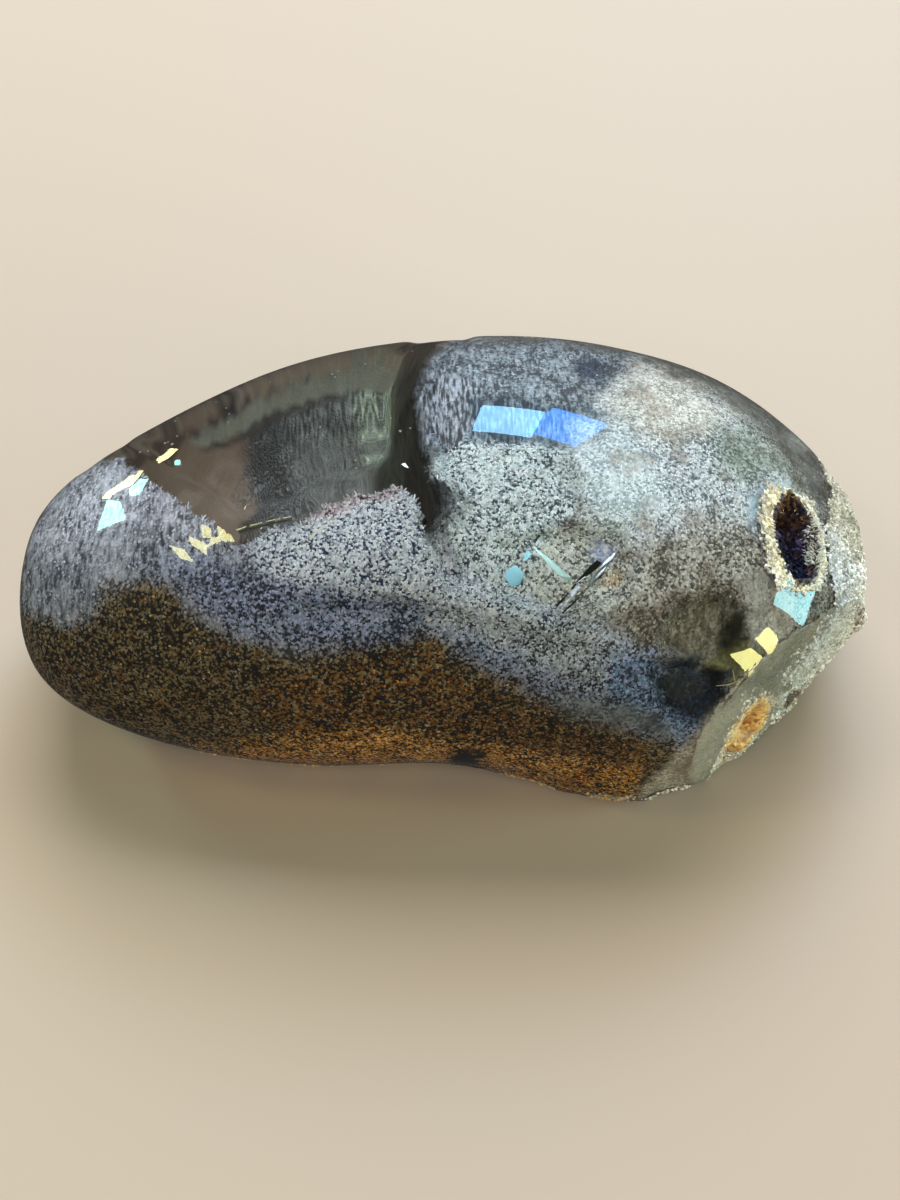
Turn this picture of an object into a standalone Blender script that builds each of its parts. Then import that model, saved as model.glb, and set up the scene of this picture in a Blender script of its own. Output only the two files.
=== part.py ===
"""A phantom quartz: a palm-sized freeform of clear quartz with mineral phantoms, ground and polished into a
long dome. It lies on a small ground flat. At the upper left the phantom drops away in steep crystal faces,
and younger, clear quartz fills the valley up to the polish. The right-hand end keeps the crystal's rough
crust, an open hollow lined with small crystals, a ground bevel and the chips that the polishing left along
the foot.

Metres, +Z up, +X along the stone from its pointed end to its rough end, +Y away from the viewer. The origin
is the centre of the footprint's box, on the surface that the stone lies on.
"""

import bmesh
import bpy
import numpy as np
from mathutils import Matrix, Vector, noise
from mathutils.bvhtree import BVHTree

MM = 0.001

# Driving dimensions of the polished dome
LENGTH = 78 * MM
WIDTH = 44 * MM
HEIGHT = 29 * MM
TIP_ROUNDNESS = 0.62  # power of the sine that closes both ends: less is blunter
TIP_DRIFT = 1.5 * MM  # how far the rough end lies to the back, and the pointed end to the front
SECTION_POWER = 2.15  # 2 is an ellipse, more is squarer
TUCK_POWER = 1.5  # how late the front turns in towards its foot

# Profiles along the stone: (place from -1 at the left tip to 1 at the right tip, share of WIDTH or HEIGHT)
BACK_EDGE = ((-1.0, 0.36), (-0.75, 0.41), (-0.4, 0.51), (0.0, 0.54), (0.4, 0.55), (0.7, 0.52), (1.0, 0.36))
FRONT_EDGE = ((-1.0, 0.42), (-0.7, 0.415), (-0.2, 0.415), (0.15, 0.43), (0.5, 0.50), (0.75, 0.52), (1.0, 0.42))
CROWN = ((-1.0, 0.50), (-0.6, 0.61), (-0.2, 0.67), (0.2, 0.68), (0.6, 0.61), (1.0, 0.44))
GIRTH = ((-1.0, 0.34), (-0.5, 0.32), (0.0, 0.32), (0.5, 0.32), (1.0, 0.34))
FOOT_TUCK = ((-1.0, 0.0), (-0.6, 0.02), (-0.3, 0.06), (0.0, 0.13), (0.2, 0.0), (0.4, -0.09), (0.6, -0.06), (1.0, 0.0))
BELLY = ((-1.0, 0.34), (-0.6, 0.50), (-0.2, 0.60), (0.4, 0.68), (0.7, 0.54), (1.0, 0.36))

# How finely the dome is divided
STATIONS = 64
ROUND = 48

# The rough crust at the right-hand end: hollows of this depth between lumps of this size
CRUST_FROM = 30 * MM
CRUST_FULL = 36 * MM
CRUST_RELIEF = 0.5 * MM
CRUST_LUMP = 1.8 * MM

# The phantom's valley in millimetres: where each edge of its wall meets the polish, and the edge's foot in plan
PHANTOM_WALL = (
    ((-42.0, 12.0, 15.0), (-42.0, 12.0)),
    ((-30.1, 2.5, 20.9), (-29.0, 6.5)),
    ((-24.7, -2.6, 22.7), (-22.5, 1.6)),
    ((-19.3, -8.1, 24.2), (-17.6, -3.4)),
    ((-17.1, -10.5, 25.1), (-15.6, -5.4)),
    ((-12.9, -9.0, 26.6), (-12.4, -5.0)),
    ((-8.4, -7.2, 27.9), (-8.8, -3.4)),
    ((-4.7, -6.4, 28.4), (-6.6, -2.0)),
    ((-1.8, -8.8, 27.9), (-5.2, -3.6)),
    ((0.2, -12.6, 26.2), (-4.2, -6.0)),
    ((-0.6, -8.0, 28.1), (-3.4, -3.2)),
    ((-2.6, -2.0, 28.9), (-4.8, 0.0)),
    ((-3.0, 3.6, 28.5), (-5.5, 4.0)),
    ((-2.0, 8.0, 27.4), (-5.0, 8.0)),
    ((-0.3, 14.1, 24.2), (-4.0, 14.0)),
    ((0.8, 26.0, 26.0), (-3.5, 26.0)),
    ((-42.0, 26.0, 15.0), (-42.0, 26.0)),
)
PHANTOM_FLOOR = 5.0
VALLEY_TOP = 34.0  # above the dome

# The open hollow, as its middle in plan, its width, length and depth, and the crystals in it
HOLLOW_AT = (30.2 * MM, -6.3 * MM)
HOLLOW_SIZE = (4.8 * MM, 7.8 * MM, 3.6 * MM)
HOLLOW_ROUGHNESS = 0.10
CRYSTAL_GAP = 0.3 * MM
CRYSTAL_CRUST = 0.6 * MM
CRYSTAL_POINT = (0.15 * MM, 0.65 * MM)
CRYSTAL_BELOW_RIM = 0.5 * MM

# The ground bevel at the lower right: a plane through a point, facing down the stone
BEVEL_POINT = (22.5 * MM, -20.5 * MM, 14.5 * MM)
BEVEL_FACING = (0.65, -0.76, 0.02)
BEVEL_CUTTER = 40 * MM

# Chips: name, middle, and reach along the stone, across it and up
CHIPS = (
    ("orange_chip", (27.4 * MM, -16.8 * MM, 6.6 * MM), (2.3 * MM, 1.6 * MM, 3.4 * MM)),
    ("notch_chip", (26.2 * MM, -18.8 * MM, 2.8 * MM), (2.4 * MM, 2.1 * MM, 3.6 * MM)),
    ("bevel_end_chip", (31.4 * MM, -12.2 * MM, 4.4 * MM), (1.6 * MM, 1.3 * MM, 1.8 * MM)),
    ("tan_chip", (-21.0 * MM, -17.9 * MM, 2.2 * MM), (2.3 * MM, 1.0 * MM, 1.0 * MM)),
    ("left_foot_chip", (-12.5 * MM, -18.0 * MM, 1.2 * MM), (3.2 * MM, 1.0 * MM, 1.2 * MM)),
    ("middle_foot_chip", (-3.8 * MM, -18.1 * MM, 0.9 * MM), (2.8 * MM, 0.9 * MM, 1.1 * MM)),
    ("foot_pit", (1.6 * MM, -19.2 * MM, 3.2 * MM), (1.2 * MM, 1.1 * MM, 0.9 * MM)),
    ("lobe_foot_chip", (6.8 * MM, -19.6 * MM, 1.0 * MM), (3.3 * MM, 0.9 * MM, 1.5 * MM)),
    ("lobe_flake", (14.2 * MM, -21.9 * MM, 1.0 * MM), (2.6 * MM, 0.8 * MM, 1.5 * MM)),
    ("lobe_end_flake", (20.2 * MM, -20.9 * MM, 1.4 * MM), (2.0 * MM, 0.9 * MM, 1.6 * MM)),
)
CHIP_ROUGHNESS = 0.16
LUMPS_ACROSS = 1.6
PATTERN_STEP = 10  # how far apart in the noise the lumps of two cutters are

QUARTZ = {"colour": (0.42, 0.41, 0.38), "roughness": 0.06, "metallic": 0.0, "clear": 1.0}
CRYSTALS = {"colour": (0.66, 0.60, 0.50), "roughness": 0.30, "metallic": 0.0, "clear": 0.3}
QUARTZ_IOR = 1.544

SHARP_ANGLE = 35
SEED = 7


def smooth_profile(points, at):
    """A smooth curve through hand-set points, with the slope at each taken from its neighbours."""
    xs, ys = np.array(points).T
    slopes = np.gradient(ys, xs)
    i = np.clip(np.searchsorted(xs, at, side="right") - 1, 0, len(xs) - 2)
    step = xs[i + 1] - xs[i]
    t = (at - xs[i]) / step
    return (
        (2 * t**3 - 3 * t**2 + 1) * ys[i]
        + (t**3 - 2 * t**2 + t) * step * slopes[i]
        + (3 * t**2 - 2 * t**3) * ys[i + 1]
        + (t**3 - t**2) * step * slopes[i + 1]
    )


def section(place, closing, angles):
    """One cross-section of the dome as (y, z): four quarters of a superellipse, cut flat at the foot."""
    back = smooth_profile(BACK_EDGE, place) * WIDTH * closing
    front = smooth_profile(FRONT_EDGE, place) * WIDTH * closing
    crown = smooth_profile(CROWN, place) * HEIGHT * closing
    belly = smooth_profile(BELLY, place) * HEIGHT * closing
    girth = smooth_profile(GIRTH, place) * HEIGHT
    power = 2 / SECTION_POWER
    along, up = np.cos(angles), np.sin(angles)
    y = np.sign(along) * np.abs(along) ** power * np.where(along > 0, back, front)
    z = girth + np.sign(up) * np.abs(up) ** power * np.where(up > 0, crown, belly)
    z = np.maximum(z, 0.0)
    towards_foot = np.clip(1 - z / girth, 0, 1) ** TUCK_POWER
    y *= 1 - np.where(along < 0, smooth_profile(FOOT_TUCK, place), 0.0) * towards_foot
    return y + TIP_DRIFT * place, z


def dome_mesh():
    """The polished dome as one closed mesh: rings of quads between the two tips."""
    bm = bmesh.new()
    angles = np.linspace(0, 2 * np.pi, ROUND, endpoint=False)
    rings = []
    for step in np.linspace(0, np.pi, STATIONS + 1)[1:-1]:
        place, closing = -np.cos(step), np.sin(step) ** TIP_ROUNDNESS
        y, z = section(place, closing, angles)
        rings.append([bm.verts.new((place * LENGTH / 2, *yz)) for yz in zip(y, z)])
    left = bm.verts.new((-LENGTH / 2, -TIP_DRIFT, GIRTH[0][1] * HEIGHT))
    right = bm.verts.new((LENGTH / 2, TIP_DRIFT, GIRTH[-1][1] * HEIGHT))
    for ring, following in zip(rings, rings[1:]):
        for i in range(ROUND):
            j = (i + 1) % ROUND
            bm.faces.new((ring[i], ring[j], following[j], following[i]))
    for i in range(ROUND):
        j = (i + 1) % ROUND
        bm.faces.new((left, rings[0][j], rings[0][i]))
        bm.faces.new((right, rings[-1][i], rings[-1][j]))
    bmesh.ops.recalc_face_normals(bm, faces=bm.faces)
    return bm


def centre_in_plan(bm):
    """Moves a mesh along X and Y so that its box is centred on the origin."""
    places = np.array([v.co for v in bm.verts])
    middle = (places.min(axis=0) + places.max(axis=0)) / 2
    bmesh.ops.translate(bm, verts=bm.verts, vec=(-middle[0], -middle[1], 0))


def roughen_crust(bm):
    """Sinks the skin of the rough end between lumps, and leaves the foot flat."""
    bm.normal_update()
    for vert in bm.verts:
        amount = np.clip((vert.co.x - CRUST_FROM) / (CRUST_FULL - CRUST_FROM), 0, 1)
        if amount == 0 or vert.co.z < MM:
            continue
        sink = 0.5 + 0.5 * noise.noise(vert.co / CRUST_LUMP)
        vert.co -= vert.normal * float(amount * CRUST_RELIEF * sink)


def principled(name, colour, roughness, metallic, clear):
    """A Principled material."""
    material = bpy.data.materials.new(name)
    material.use_nodes = True
    shader = material.node_tree.nodes["Principled BSDF"]
    shader.inputs["Base Color"].default_value = (*colour, 1)
    shader.inputs["Roughness"].default_value = roughness
    shader.inputs["Metallic"].default_value = metallic
    shader.inputs["Transmission Weight"].default_value = clear
    shader.inputs["IOR"].default_value = QUARTZ_IOR
    return material


def add_object(name, bm, material=None):
    """Puts a bmesh into the scene as an object of its own, shaded smooth between sharp edges."""
    mesh = bpy.data.meshes.new(name)
    bm.to_mesh(mesh)
    bm.free()
    mesh.shade_smooth()
    mesh.set_sharp_from_angle(angle=np.radians(SHARP_ANGLE))
    if material:
        mesh.materials.append(material)
    obj = bpy.data.objects.new(name, mesh)
    bpy.context.scene.collection.objects.link(obj)
    return obj


def rough_ball(reach, roughness, pattern, divisions=3):
    """A lumpy ellipsoid for breaking hollows and chips out of the stone. Each pattern has its own lumps."""
    bm = bmesh.new()
    bmesh.ops.create_icosphere(bm, subdivisions=divisions, radius=1.0)
    for vert in bm.verts:
        lump = noise.noise(vert.co * LUMPS_ACROSS + Vector((0, 0, PATTERN_STEP * pattern)))
        vert.co *= 1 + 2 * roughness * lump
        vert.co = Vector([c * r for c, r in zip(vert.co, reach)])
    return bm


def cut_from(solid, cutter, operation="DIFFERENCE"):
    """Takes the cutter's shape away from a solid, or keeps only what is in it. The cutter is a hidden guide."""
    cutter.hide_render = True
    cutter.display_type = "WIRE"
    cut = solid.modifiers.new(cutter.name, "BOOLEAN")
    cut.operation = operation
    cut.object = cutter


def phantom_valley():
    """The room that the younger quartz fills: up the phantom's leaning faces from its floor, and out of the dome."""
    bm = bmesh.new()
    feet, tops = [], []
    for rim, foot in PHANTOM_WALL:
        low = Vector((*foot, PHANTOM_FLOOR))
        rise = (Vector(rim) - low) / (rim[2] - PHANTOM_FLOOR)
        feet.append(bm.verts.new(low * MM))
        tops.append(bm.verts.new((low + rise * (VALLEY_TOP - PHANTOM_FLOOR)) * MM))
    bm.faces.new(feet)
    bm.faces.new(tops)
    for i in range(len(feet)):
        bm.faces.new((feet[i - 1], feet[i], tops[i], tops[i - 1]))
    bmesh.ops.recalc_face_normals(bm, faces=bm.faces)
    bmesh.ops.triangulate(bm, faces=bm.faces)
    return bm


def hollow_frame(surface):
    """Where the hollow opens: its middle on the skin, with local Z along the skin's normal."""
    place, normal, _, _ = surface.ray_cast(Vector((*HOLLOW_AT, 2 * HEIGHT)), Vector((0, 0, -1)))
    across = Vector((1, 0, 0)) - normal * normal.x
    across.normalize()
    axes = Matrix((across, normal.cross(across), normal)).transposed().to_4x4()
    return Matrix.Translation(place) @ axes


def hollow_reach(inset=0.0):
    """Half the hollow's width and length, and its depth, each less an inset."""
    width, length, depth = HOLLOW_SIZE
    return (width / 2 - inset, length / 2 - inset, depth - inset)


def crystal_crust(at):
    """The hollow's crystals: a bowl that follows its wall, with a point on every face inside."""
    rng = np.random.default_rng(SEED)
    bm = rough_ball(hollow_reach(CRYSTAL_GAP), HOLLOW_ROUGHNESS, pattern=0)
    everything = [*bm.verts, *bm.edges, *bm.faces]
    bmesh.ops.bisect_plane(
        bm, geom=everything, plane_co=(0, 0, -CRYSTAL_BELOW_RIM), plane_no=(0, 0, 1), clear_outer=True
    )
    bmesh.ops.recalc_face_normals(bm, faces=bm.faces)
    outside = set(bm.faces)
    bmesh.ops.solidify(bm, geom=list(bm.faces), thickness=CRYSTAL_CRUST)
    bmesh.ops.recalc_face_normals(bm, faces=bm.faces)
    inside = [f for f in bm.faces if f not in outside and len(f.verts) == 3]
    for face in inside:
        point = float(rng.uniform(*CRYSTAL_POINT))
        bmesh.ops.poke(bm, faces=[face], offset=point)
    bmesh.ops.transform(bm, matrix=at, verts=bm.verts)
    return bm


def build():
    """The stone with its cuts, the clear quartz over its phantom, and the crystals in its hollow."""
    for old in list(bpy.data.objects):
        bpy.data.objects.remove(old)
    dome = dome_mesh()
    roughen_crust(dome)
    centre_in_plan(dome)
    surface = BVHTree.FromBMesh(dome)
    quartz = principled("quartz", **QUARTZ)
    overgrowth = add_object("clear_overgrowth", dome.copy(), quartz)
    stone = add_object("quartz_stone", dome, quartz)

    valley = add_object("valley_cutter", phantom_valley())
    cut_from(overgrowth, valley, "INTERSECT")
    cut_from(stone, valley)

    at = hollow_frame(surface)
    hollow = rough_ball(hollow_reach(), HOLLOW_ROUGHNESS, pattern=0)
    bmesh.ops.transform(hollow, matrix=at, verts=hollow.verts)
    cut_from(stone, add_object("hollow_cutter", hollow))

    bevel = bmesh.new()
    bmesh.ops.create_cube(bevel, size=BEVEL_CUTTER)
    facing = Vector(BEVEL_FACING).normalized()
    turn = facing.to_track_quat("Z", "Y").to_matrix().to_4x4()
    middle = Vector(BEVEL_POINT) + facing * BEVEL_CUTTER / 2
    bmesh.ops.transform(bevel, matrix=Matrix.Translation(middle) @ turn, verts=bevel.verts)
    cut_from(stone, add_object("bevel_cutter", bevel))

    for pattern, (name, place, reach) in enumerate(CHIPS, start=1):
        chip = rough_ball(reach, CHIP_ROUGHNESS, pattern, divisions=2)
        bmesh.ops.translate(chip, verts=chip.verts, vec=place)
        cut_from(stone, add_object(name, chip))

    add_object("vug_crystals", crystal_crust(at), principled("vug_crystal", **CRYSTALS))


build()
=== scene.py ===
# %% [markdown]
# # A phantom quartz
# This is a palm-sized piece of clear quartz, ground and polished into a long dome. While the crystal
# grew, mineral dust settled on its faces and new quartz sealed it in. Those sealed coats are its
# phantoms: a hilly landscape of sparkling grains under a clear lens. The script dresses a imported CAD
# solid, so its sizes come from that solid. Everything is in metres, with +X along the stone, +Y away from
# the viewer and +Z up.

import bmesh
import bpy
import numpy as np
from mathutils import Matrix, Vector, noise
from mathutils.bvhtree import BVHTree
from mathutils.kdtree import KDTree


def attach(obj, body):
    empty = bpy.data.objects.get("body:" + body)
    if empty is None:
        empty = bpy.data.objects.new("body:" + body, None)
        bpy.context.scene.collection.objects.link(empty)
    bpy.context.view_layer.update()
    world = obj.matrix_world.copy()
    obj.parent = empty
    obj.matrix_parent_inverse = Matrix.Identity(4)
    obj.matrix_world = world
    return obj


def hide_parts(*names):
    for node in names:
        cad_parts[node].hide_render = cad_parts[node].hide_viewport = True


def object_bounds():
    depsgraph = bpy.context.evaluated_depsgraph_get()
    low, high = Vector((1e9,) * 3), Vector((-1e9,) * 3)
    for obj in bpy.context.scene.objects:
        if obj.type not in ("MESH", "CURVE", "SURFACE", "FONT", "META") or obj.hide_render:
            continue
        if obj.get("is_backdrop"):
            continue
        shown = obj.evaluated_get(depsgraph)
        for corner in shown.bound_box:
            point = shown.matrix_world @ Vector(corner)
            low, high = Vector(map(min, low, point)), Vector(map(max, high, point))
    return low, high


MM = 0.001
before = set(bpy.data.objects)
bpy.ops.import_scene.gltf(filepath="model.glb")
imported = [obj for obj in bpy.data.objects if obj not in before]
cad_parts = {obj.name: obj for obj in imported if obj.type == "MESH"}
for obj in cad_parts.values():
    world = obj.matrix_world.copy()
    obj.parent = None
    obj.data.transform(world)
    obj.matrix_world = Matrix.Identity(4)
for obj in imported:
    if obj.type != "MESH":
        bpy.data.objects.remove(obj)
CAD_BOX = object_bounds()
stone_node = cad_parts["quartz_stone"]
overgrowth_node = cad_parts["clear_overgrowth"]
print("CAD box in mm:", [round(c / MM, 2) for corner in CAD_BOX for c in corner])

# %% [markdown]
# ## Camera
# The photograph looks down on the stone at 55 degrees from very near, so the stone's front swells towards
# the lens. A camera can be aimed with a constraint, but a rotation worked out from the line of sight is
# plainer, and it stays put when the file is exported.

# %% Camera
CAMERA_ELEVATION = np.radians(55)
CAMERA_DISTANCE = 151 * MM
CAMERA_TARGET = Vector((0.2 * MM, 1.8 * MM, 0))
LENS = 45
SENSOR = 36
FRAME_SIZE = (900, 1200)

scene = bpy.context.scene
sight = Vector((0, np.cos(CAMERA_ELEVATION), -np.sin(CAMERA_ELEVATION)))
camera = bpy.data.objects.new("camera", bpy.data.cameras.new("camera"))
camera.data.lens = LENS
camera.data.sensor_width = SENSOR
camera.data.clip_start = 5 * MM
camera.location = CAMERA_TARGET - sight * CAMERA_DISTANCE
camera.rotation_euler = sight.to_track_quat("-Z", "Y").to_euler()
scene.collection.objects.link(camera)
scene.camera = camera
print("camera at mm:", [round(c / MM, 1) for c in camera.location])

# %% [markdown]
# A zone of the stone is easiest to draw where the photograph shows it. The first helper gives the place
# of a point of the stone in the 900 x 1200 frame, so that an outline drawn there can be laid on the
# stone. The second goes the other way: it gives the line of sight through a place in the frame.

# %% Places in the frame
SIGHT = np.array(sight)
UPWARD = np.array((0, np.sin(CAMERA_ELEVATION), np.cos(CAMERA_ELEVATION)))
FOCAL = FRAME_SIZE[1] * LENS / SENSOR


def in_frame(points):
    """The (column, row) in the photograph's frame of each point in metres."""
    away = points - np.array(camera.location)
    scale = FOCAL / (away @ SIGHT)
    column = FRAME_SIZE[0] / 2 + away[:, 0] * scale
    row = FRAME_SIZE[1] / 2 - away @ UPWARD * scale
    return np.stack((column, row), -1)


def line_of_sight(column, row):
    """The direction from the camera through a place in the frame."""
    across, up = (column - FRAME_SIZE[0] / 2) / FOCAL, (FRAME_SIZE[1] / 2 - row) / FOCAL
    return Vector(SIGHT + across * np.array((1, 0, 0)) + up * UPWARD).normalized()


print("the stone's origin in the frame:", in_frame(np.zeros((1, 3)))[0].round(1))

# %% [markdown]
# ## Helpers for meshes
# Numbers go into and out of a mesh fastest as whole arrays. A value that is stored on the vertices under
# a name can be read by a material or by Geometry Nodes, and it stays with the mesh when that is exported.

# %% Mesh helpers
def new_object(name, mesh, *materials):
    """An object of this mesh in the scene, at the origin."""
    obj = bpy.data.objects.new(name, mesh)
    scene.collection.objects.link(obj)
    for material in materials:
        mesh.materials.append(material)
    return obj


def mesh_from(bm, name):
    """Turns a bmesh into a mesh of this name. The bmesh is freed."""
    mesh = bpy.data.meshes.new(name)
    bm.to_mesh(mesh)
    bm.free()
    return mesh


def evaluated_mesh(obj, name):
    """The object's mesh with its modifiers in it. The object is removed."""
    graph = bpy.context.evaluated_depsgraph_get()
    mesh = bpy.data.meshes.new_from_object(obj.evaluated_get(graph))
    mesh.name = name
    bpy.data.objects.remove(obj)
    return mesh


def read(values, attribute, width=3):
    """A mesh's vertex or face values as an array with one row for each."""
    out = np.empty(len(values) * width, np.float32)
    values.foreach_get(attribute, out)
    return out.reshape(-1, width).astype(float)


def write_places(mesh, places):
    """Moves the mesh's vertices to these places."""
    mesh.vertices.foreach_set("co", places.astype(np.float32).ravel())


def store(mesh, name, values):
    """Keeps one number, or one colour, for each vertex under this name."""
    if values.ndim == 1:
        layer = mesh.attributes.new(name, "FLOAT", "POINT")
        layer.data.foreach_set("value", values.astype(np.float32))
    else:
        layer = mesh.attributes.new(name, "FLOAT_COLOR", "POINT")
        rgba = np.c_[np.clip(values, 0, 1), np.ones(len(values))]
        layer.data.foreach_set("color", rgba.astype(np.float32).ravel())


# %% [markdown]
# ## Helpers for node trees
# A node tree built in a script is long unless adding a node, setting it and linking it are one call.
# These helpers keep the cells below short.

# %% Node helpers
def add_node(tree, kind, inputs=(), **settings):
    """Adds a node, sets its properties, and sets or links each input that is given."""
    node = tree.nodes.new(kind)
    for key, value in settings.items():
        setattr(node, key, value)
    for key, value in dict(inputs).items():
        if isinstance(value, bpy.types.NodeSocket):
            tree.links.new(value, node.inputs[key])
        else:
            node.inputs[key].default_value = value
    return node


def calculate(tree, operation, a, b=0.0, c=0.0):
    """A Math node on two or three numbers or sockets."""
    return add_node(tree, "ShaderNodeMath", {0: a, 1: b, 2: c}, operation=operation).outputs[0]


def blend(tree, factor, a, b):
    """A Mix node between two numbers."""
    return add_node(tree, "ShaderNodeMix", {"Factor": factor, "A": a, "B": b}).outputs["Result"]


def blend_colour(tree, factor, a, b, how="MIX"):
    """A Mix node between two colours."""
    inputs = {"Factor": factor, "A": a, "B": b}
    return add_node(tree, "ShaderNodeMix", inputs, data_type="RGBA", blend_type=how).outputs["Result"]


def ramp(tree, value, low, high, **ends):
    """A Map Range node: 0 where the value is low and 1 where it is high, or other ends by name."""
    inputs = {"Value": value, "From Min": low, "From Max": high}
    inputs.update({key.replace("_", " "): end for key, end in ends.items()})
    return add_node(tree, "ShaderNodeMapRange", inputs).outputs[0]


def noise_at(tree, place, scale, detail):
    """A Noise Texture's value."""
    inputs = {"Vector": place, "Scale": scale, "Detail": detail}
    return add_node(tree, "ShaderNodeTexNoise", inputs).outputs[0]


def stored(tree, name):
    """The outputs of an Attribute node, which reads the vertex values kept under this name."""
    return add_node(tree, "ShaderNodeAttribute", attribute_name=name).outputs


def varied(tree, colour, **changes):
    """The colour with its hue, saturation or value changed."""
    inputs = {"Color": colour} | {key.capitalize(): value for key, value in changes.items()}
    return add_node(tree, "ShaderNodeHueSaturation", inputs).outputs[0]


def give_bump(tree, shader, height, distance, strength):
    """Bumps the shader's surface by this height."""
    bump = add_node(tree, "ShaderNodeBump", {"Height": height, "Distance": distance, "Strength": strength})
    tree.links.new(bump.outputs[0], shader.inputs["Normal"])


# %% Shader helpers
def principled(name, **values):
    """A material with one Principled shader, and its values set on the shader's own sockets."""
    material = bpy.data.materials.new(name)
    material.use_nodes = True
    shader = material.node_tree.nodes["Principled BSDF"]
    for socket, value in values.items():
        shader.inputs[socket.replace("_", " ")].default_value = value
    return material, material.node_tree, shader


# %% [markdown]
# ## Floor and light
# The floor is a plain pale sheet. The sky is dim, and a broad softbox stands high behind the stone, so
# that light falls through the crystal towards the viewer and the front foot stays in shade. A weak fill
# stands on the viewer's side. These two and the floor are kept out of mirror reflections, because they
# would lie on the polish as a grey sheet and hide the dark of the phantom. The small softboxes do show in
# the polish, as the patches of light in the photograph do.

# %% Floor
FLOOR_REACH = 1.2
FLOOR_GAP = 0.05 * MM
FLOOR_COLOUR = (0.455, 0.355, 0.275, 1)


def make_floor():
    """A square sheet just under the stone."""
    mesh = bpy.data.meshes.new("floor")
    turns = ((-1, -1), (1, -1), (1, 1), (-1, 1))
    corners = [(x * FLOOR_REACH, y * FLOOR_REACH, -FLOOR_GAP) for x, y in turns]
    mesh.from_pydata(corners, [], [(0, 1, 2, 3)])
    floor = new_object("floor", mesh, principled("pale_floor", Base_Color=FLOOR_COLOUR, Roughness=0.6)[0])
    floor.visible_glossy = False
    floor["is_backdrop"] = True
    print("floor:", 2 * FLOOR_REACH, "m square")


make_floor()

# %% Lights
SKY_COLOUR = (1.0, 0.97, 0.92, 1)
SKY_STRENGTH = 0.06
BROAD = ((0.05, 0.45, 0.50), (0.60, 0.45), 9.7, (0.92, 0.97, 1.0))
FILL = ((-0.10, -0.45, 0.60), (0.70, 0.45), 2.0, (0.96, 0.97, 1.0))
# Each small softbox: name, place and size in metres, brightness, colour, and its turn in degrees
SMALL = (
    ("pale_window", (0.063, 0.335, 0.324), (0.088, 0.088), 17.0, (0.24, 0.58, 0.96), 0),
    ("blue_window", (0.140, 0.325, 0.313), (0.074, 0.094), 13.0, (0.05, 0.30, 1.0), -2),
    ("yellow_left", (-0.318, 0.324, 0.134), (0.095, 0.032), 15.0, (1.0, 0.98, 0.50), 10),
    ("mint_left", (-0.362, 0.241, 0.198), (0.12, 0.055), 15.0, (0.45, 1.0, 0.92), 28),
    ("gold_left", (-0.292, -0.008, 0.383), (0.10, 0.06), 13.0, (1.0, 0.95, 0.40), 0),
    ("cyan_right", (0.44, 0.0, 0.14), (0.12, 0.14), 12.0, (0.42, 0.92, 1.0), 0),
    ("first_pane", (0.332, -0.272, 0.135), (0.08, 0.07), 17.0, (1.0, 0.95, 0.36), 0),
    ("second_pane", (0.386, -0.172, 0.148), (0.07, 0.07), 17.0, (1.0, 0.95, 0.36), 0),
)


def softbox(name, place, size, brightness, colour, turn=0):
    """A rectangular lamp that faces the stone. Its power follows from how bright it should look."""
    lamp = bpy.data.lights.new(name, "AREA")
    lamp.shape = "RECTANGLE"
    lamp.size, lamp.size_y = size
    lamp.energy = brightness * np.pi * size[0] * size[1]
    lamp.color = colour
    obj = bpy.data.objects.new(name, lamp)
    facing = (-Vector(place)).to_track_quat("-Z", "Y").to_matrix()
    obj.rotation_euler = (facing @ Matrix.Rotation(np.radians(turn), 3, "Z")).to_euler()
    obj.location = place
    scene.collection.objects.link(obj)
    return obj


scene.world = bpy.data.worlds.new("studio")
scene.world.use_nodes = True
sky = scene.world.node_tree.nodes["Background"]
sky.inputs["Color"].default_value = SKY_COLOUR
sky.inputs["Strength"].default_value = SKY_STRENGTH
softbox("broad_softbox", *BROAD).visible_glossy = False
softbox("fill_softbox", *FILL).visible_glossy = False
for lamp in SMALL:
    softbox(*lamp)
scene.view_settings.view_transform = "Standard"
print("softboxes:", 2 + len(SMALL))

# %% [markdown]
# ## Outlines and noise
# Two tools shape everything below. The distance of a place from a drawn outline gives a soft or ragged
# border of any width, and smooth noise makes borders and heights uneven as in nature.

# %% Outlines and noise
OCTAVES = 3


def signed_distance(outline, places):
    """How far inside a closed outline each place is, in the outline's own units. Outside is negative."""
    corners = np.array(outline, float)
    nearest = np.full(len(places), np.inf)
    inside = np.zeros(len(places), bool)
    for a, b in zip(corners, np.roll(corners, -1, axis=0)):
        along = b - a
        t = np.clip((places - a) @ along / (along @ along), 0, 1)
        nearest = np.minimum(nearest, np.linalg.norm(places - a - t[:, None] * along, axis=1))
        if a[1] != b[1]:
            crosses = (a[1] > places[:, 1]) != (b[1] > places[:, 1])
            column = a[0] + (places[:, 1] - a[1]) / (b[1] - a[1]) * along[0]
            inside ^= crosses & (places[:, 0] < column)
    return np.where(inside, nearest, -nearest)


def smooth_step(low, high, value):
    """0 below low, 1 above high, and a smooth rise between them."""
    t = np.clip((value - low) / (high - low), 0, 1)
    return t * t * (3 - 2 * t)


def lumps(points, size, seed):
    """Smooth noise, about -1 to 1, with lumps of this size, at points in metres."""
    shift = Vector((7.3 * seed, -3.1 * seed, 5.7 * seed))
    return np.array([noise.fractal(Vector(p) / size + shift, 1.0, 2.0, OCTAVES) for p in points])


# %% [markdown]
# ## The clear skin
# Polished quartz is smooth and see-through, so its surface has to be much finer than the CAD facets. The
# CAD model parts the crystal along its phantom into the stone and the younger quartz over it. In the real
# crystal nothing parts them, so copies of both are welded into one skin: the faces where they touch are
# dropped, and the rims of what is left meet.

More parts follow.
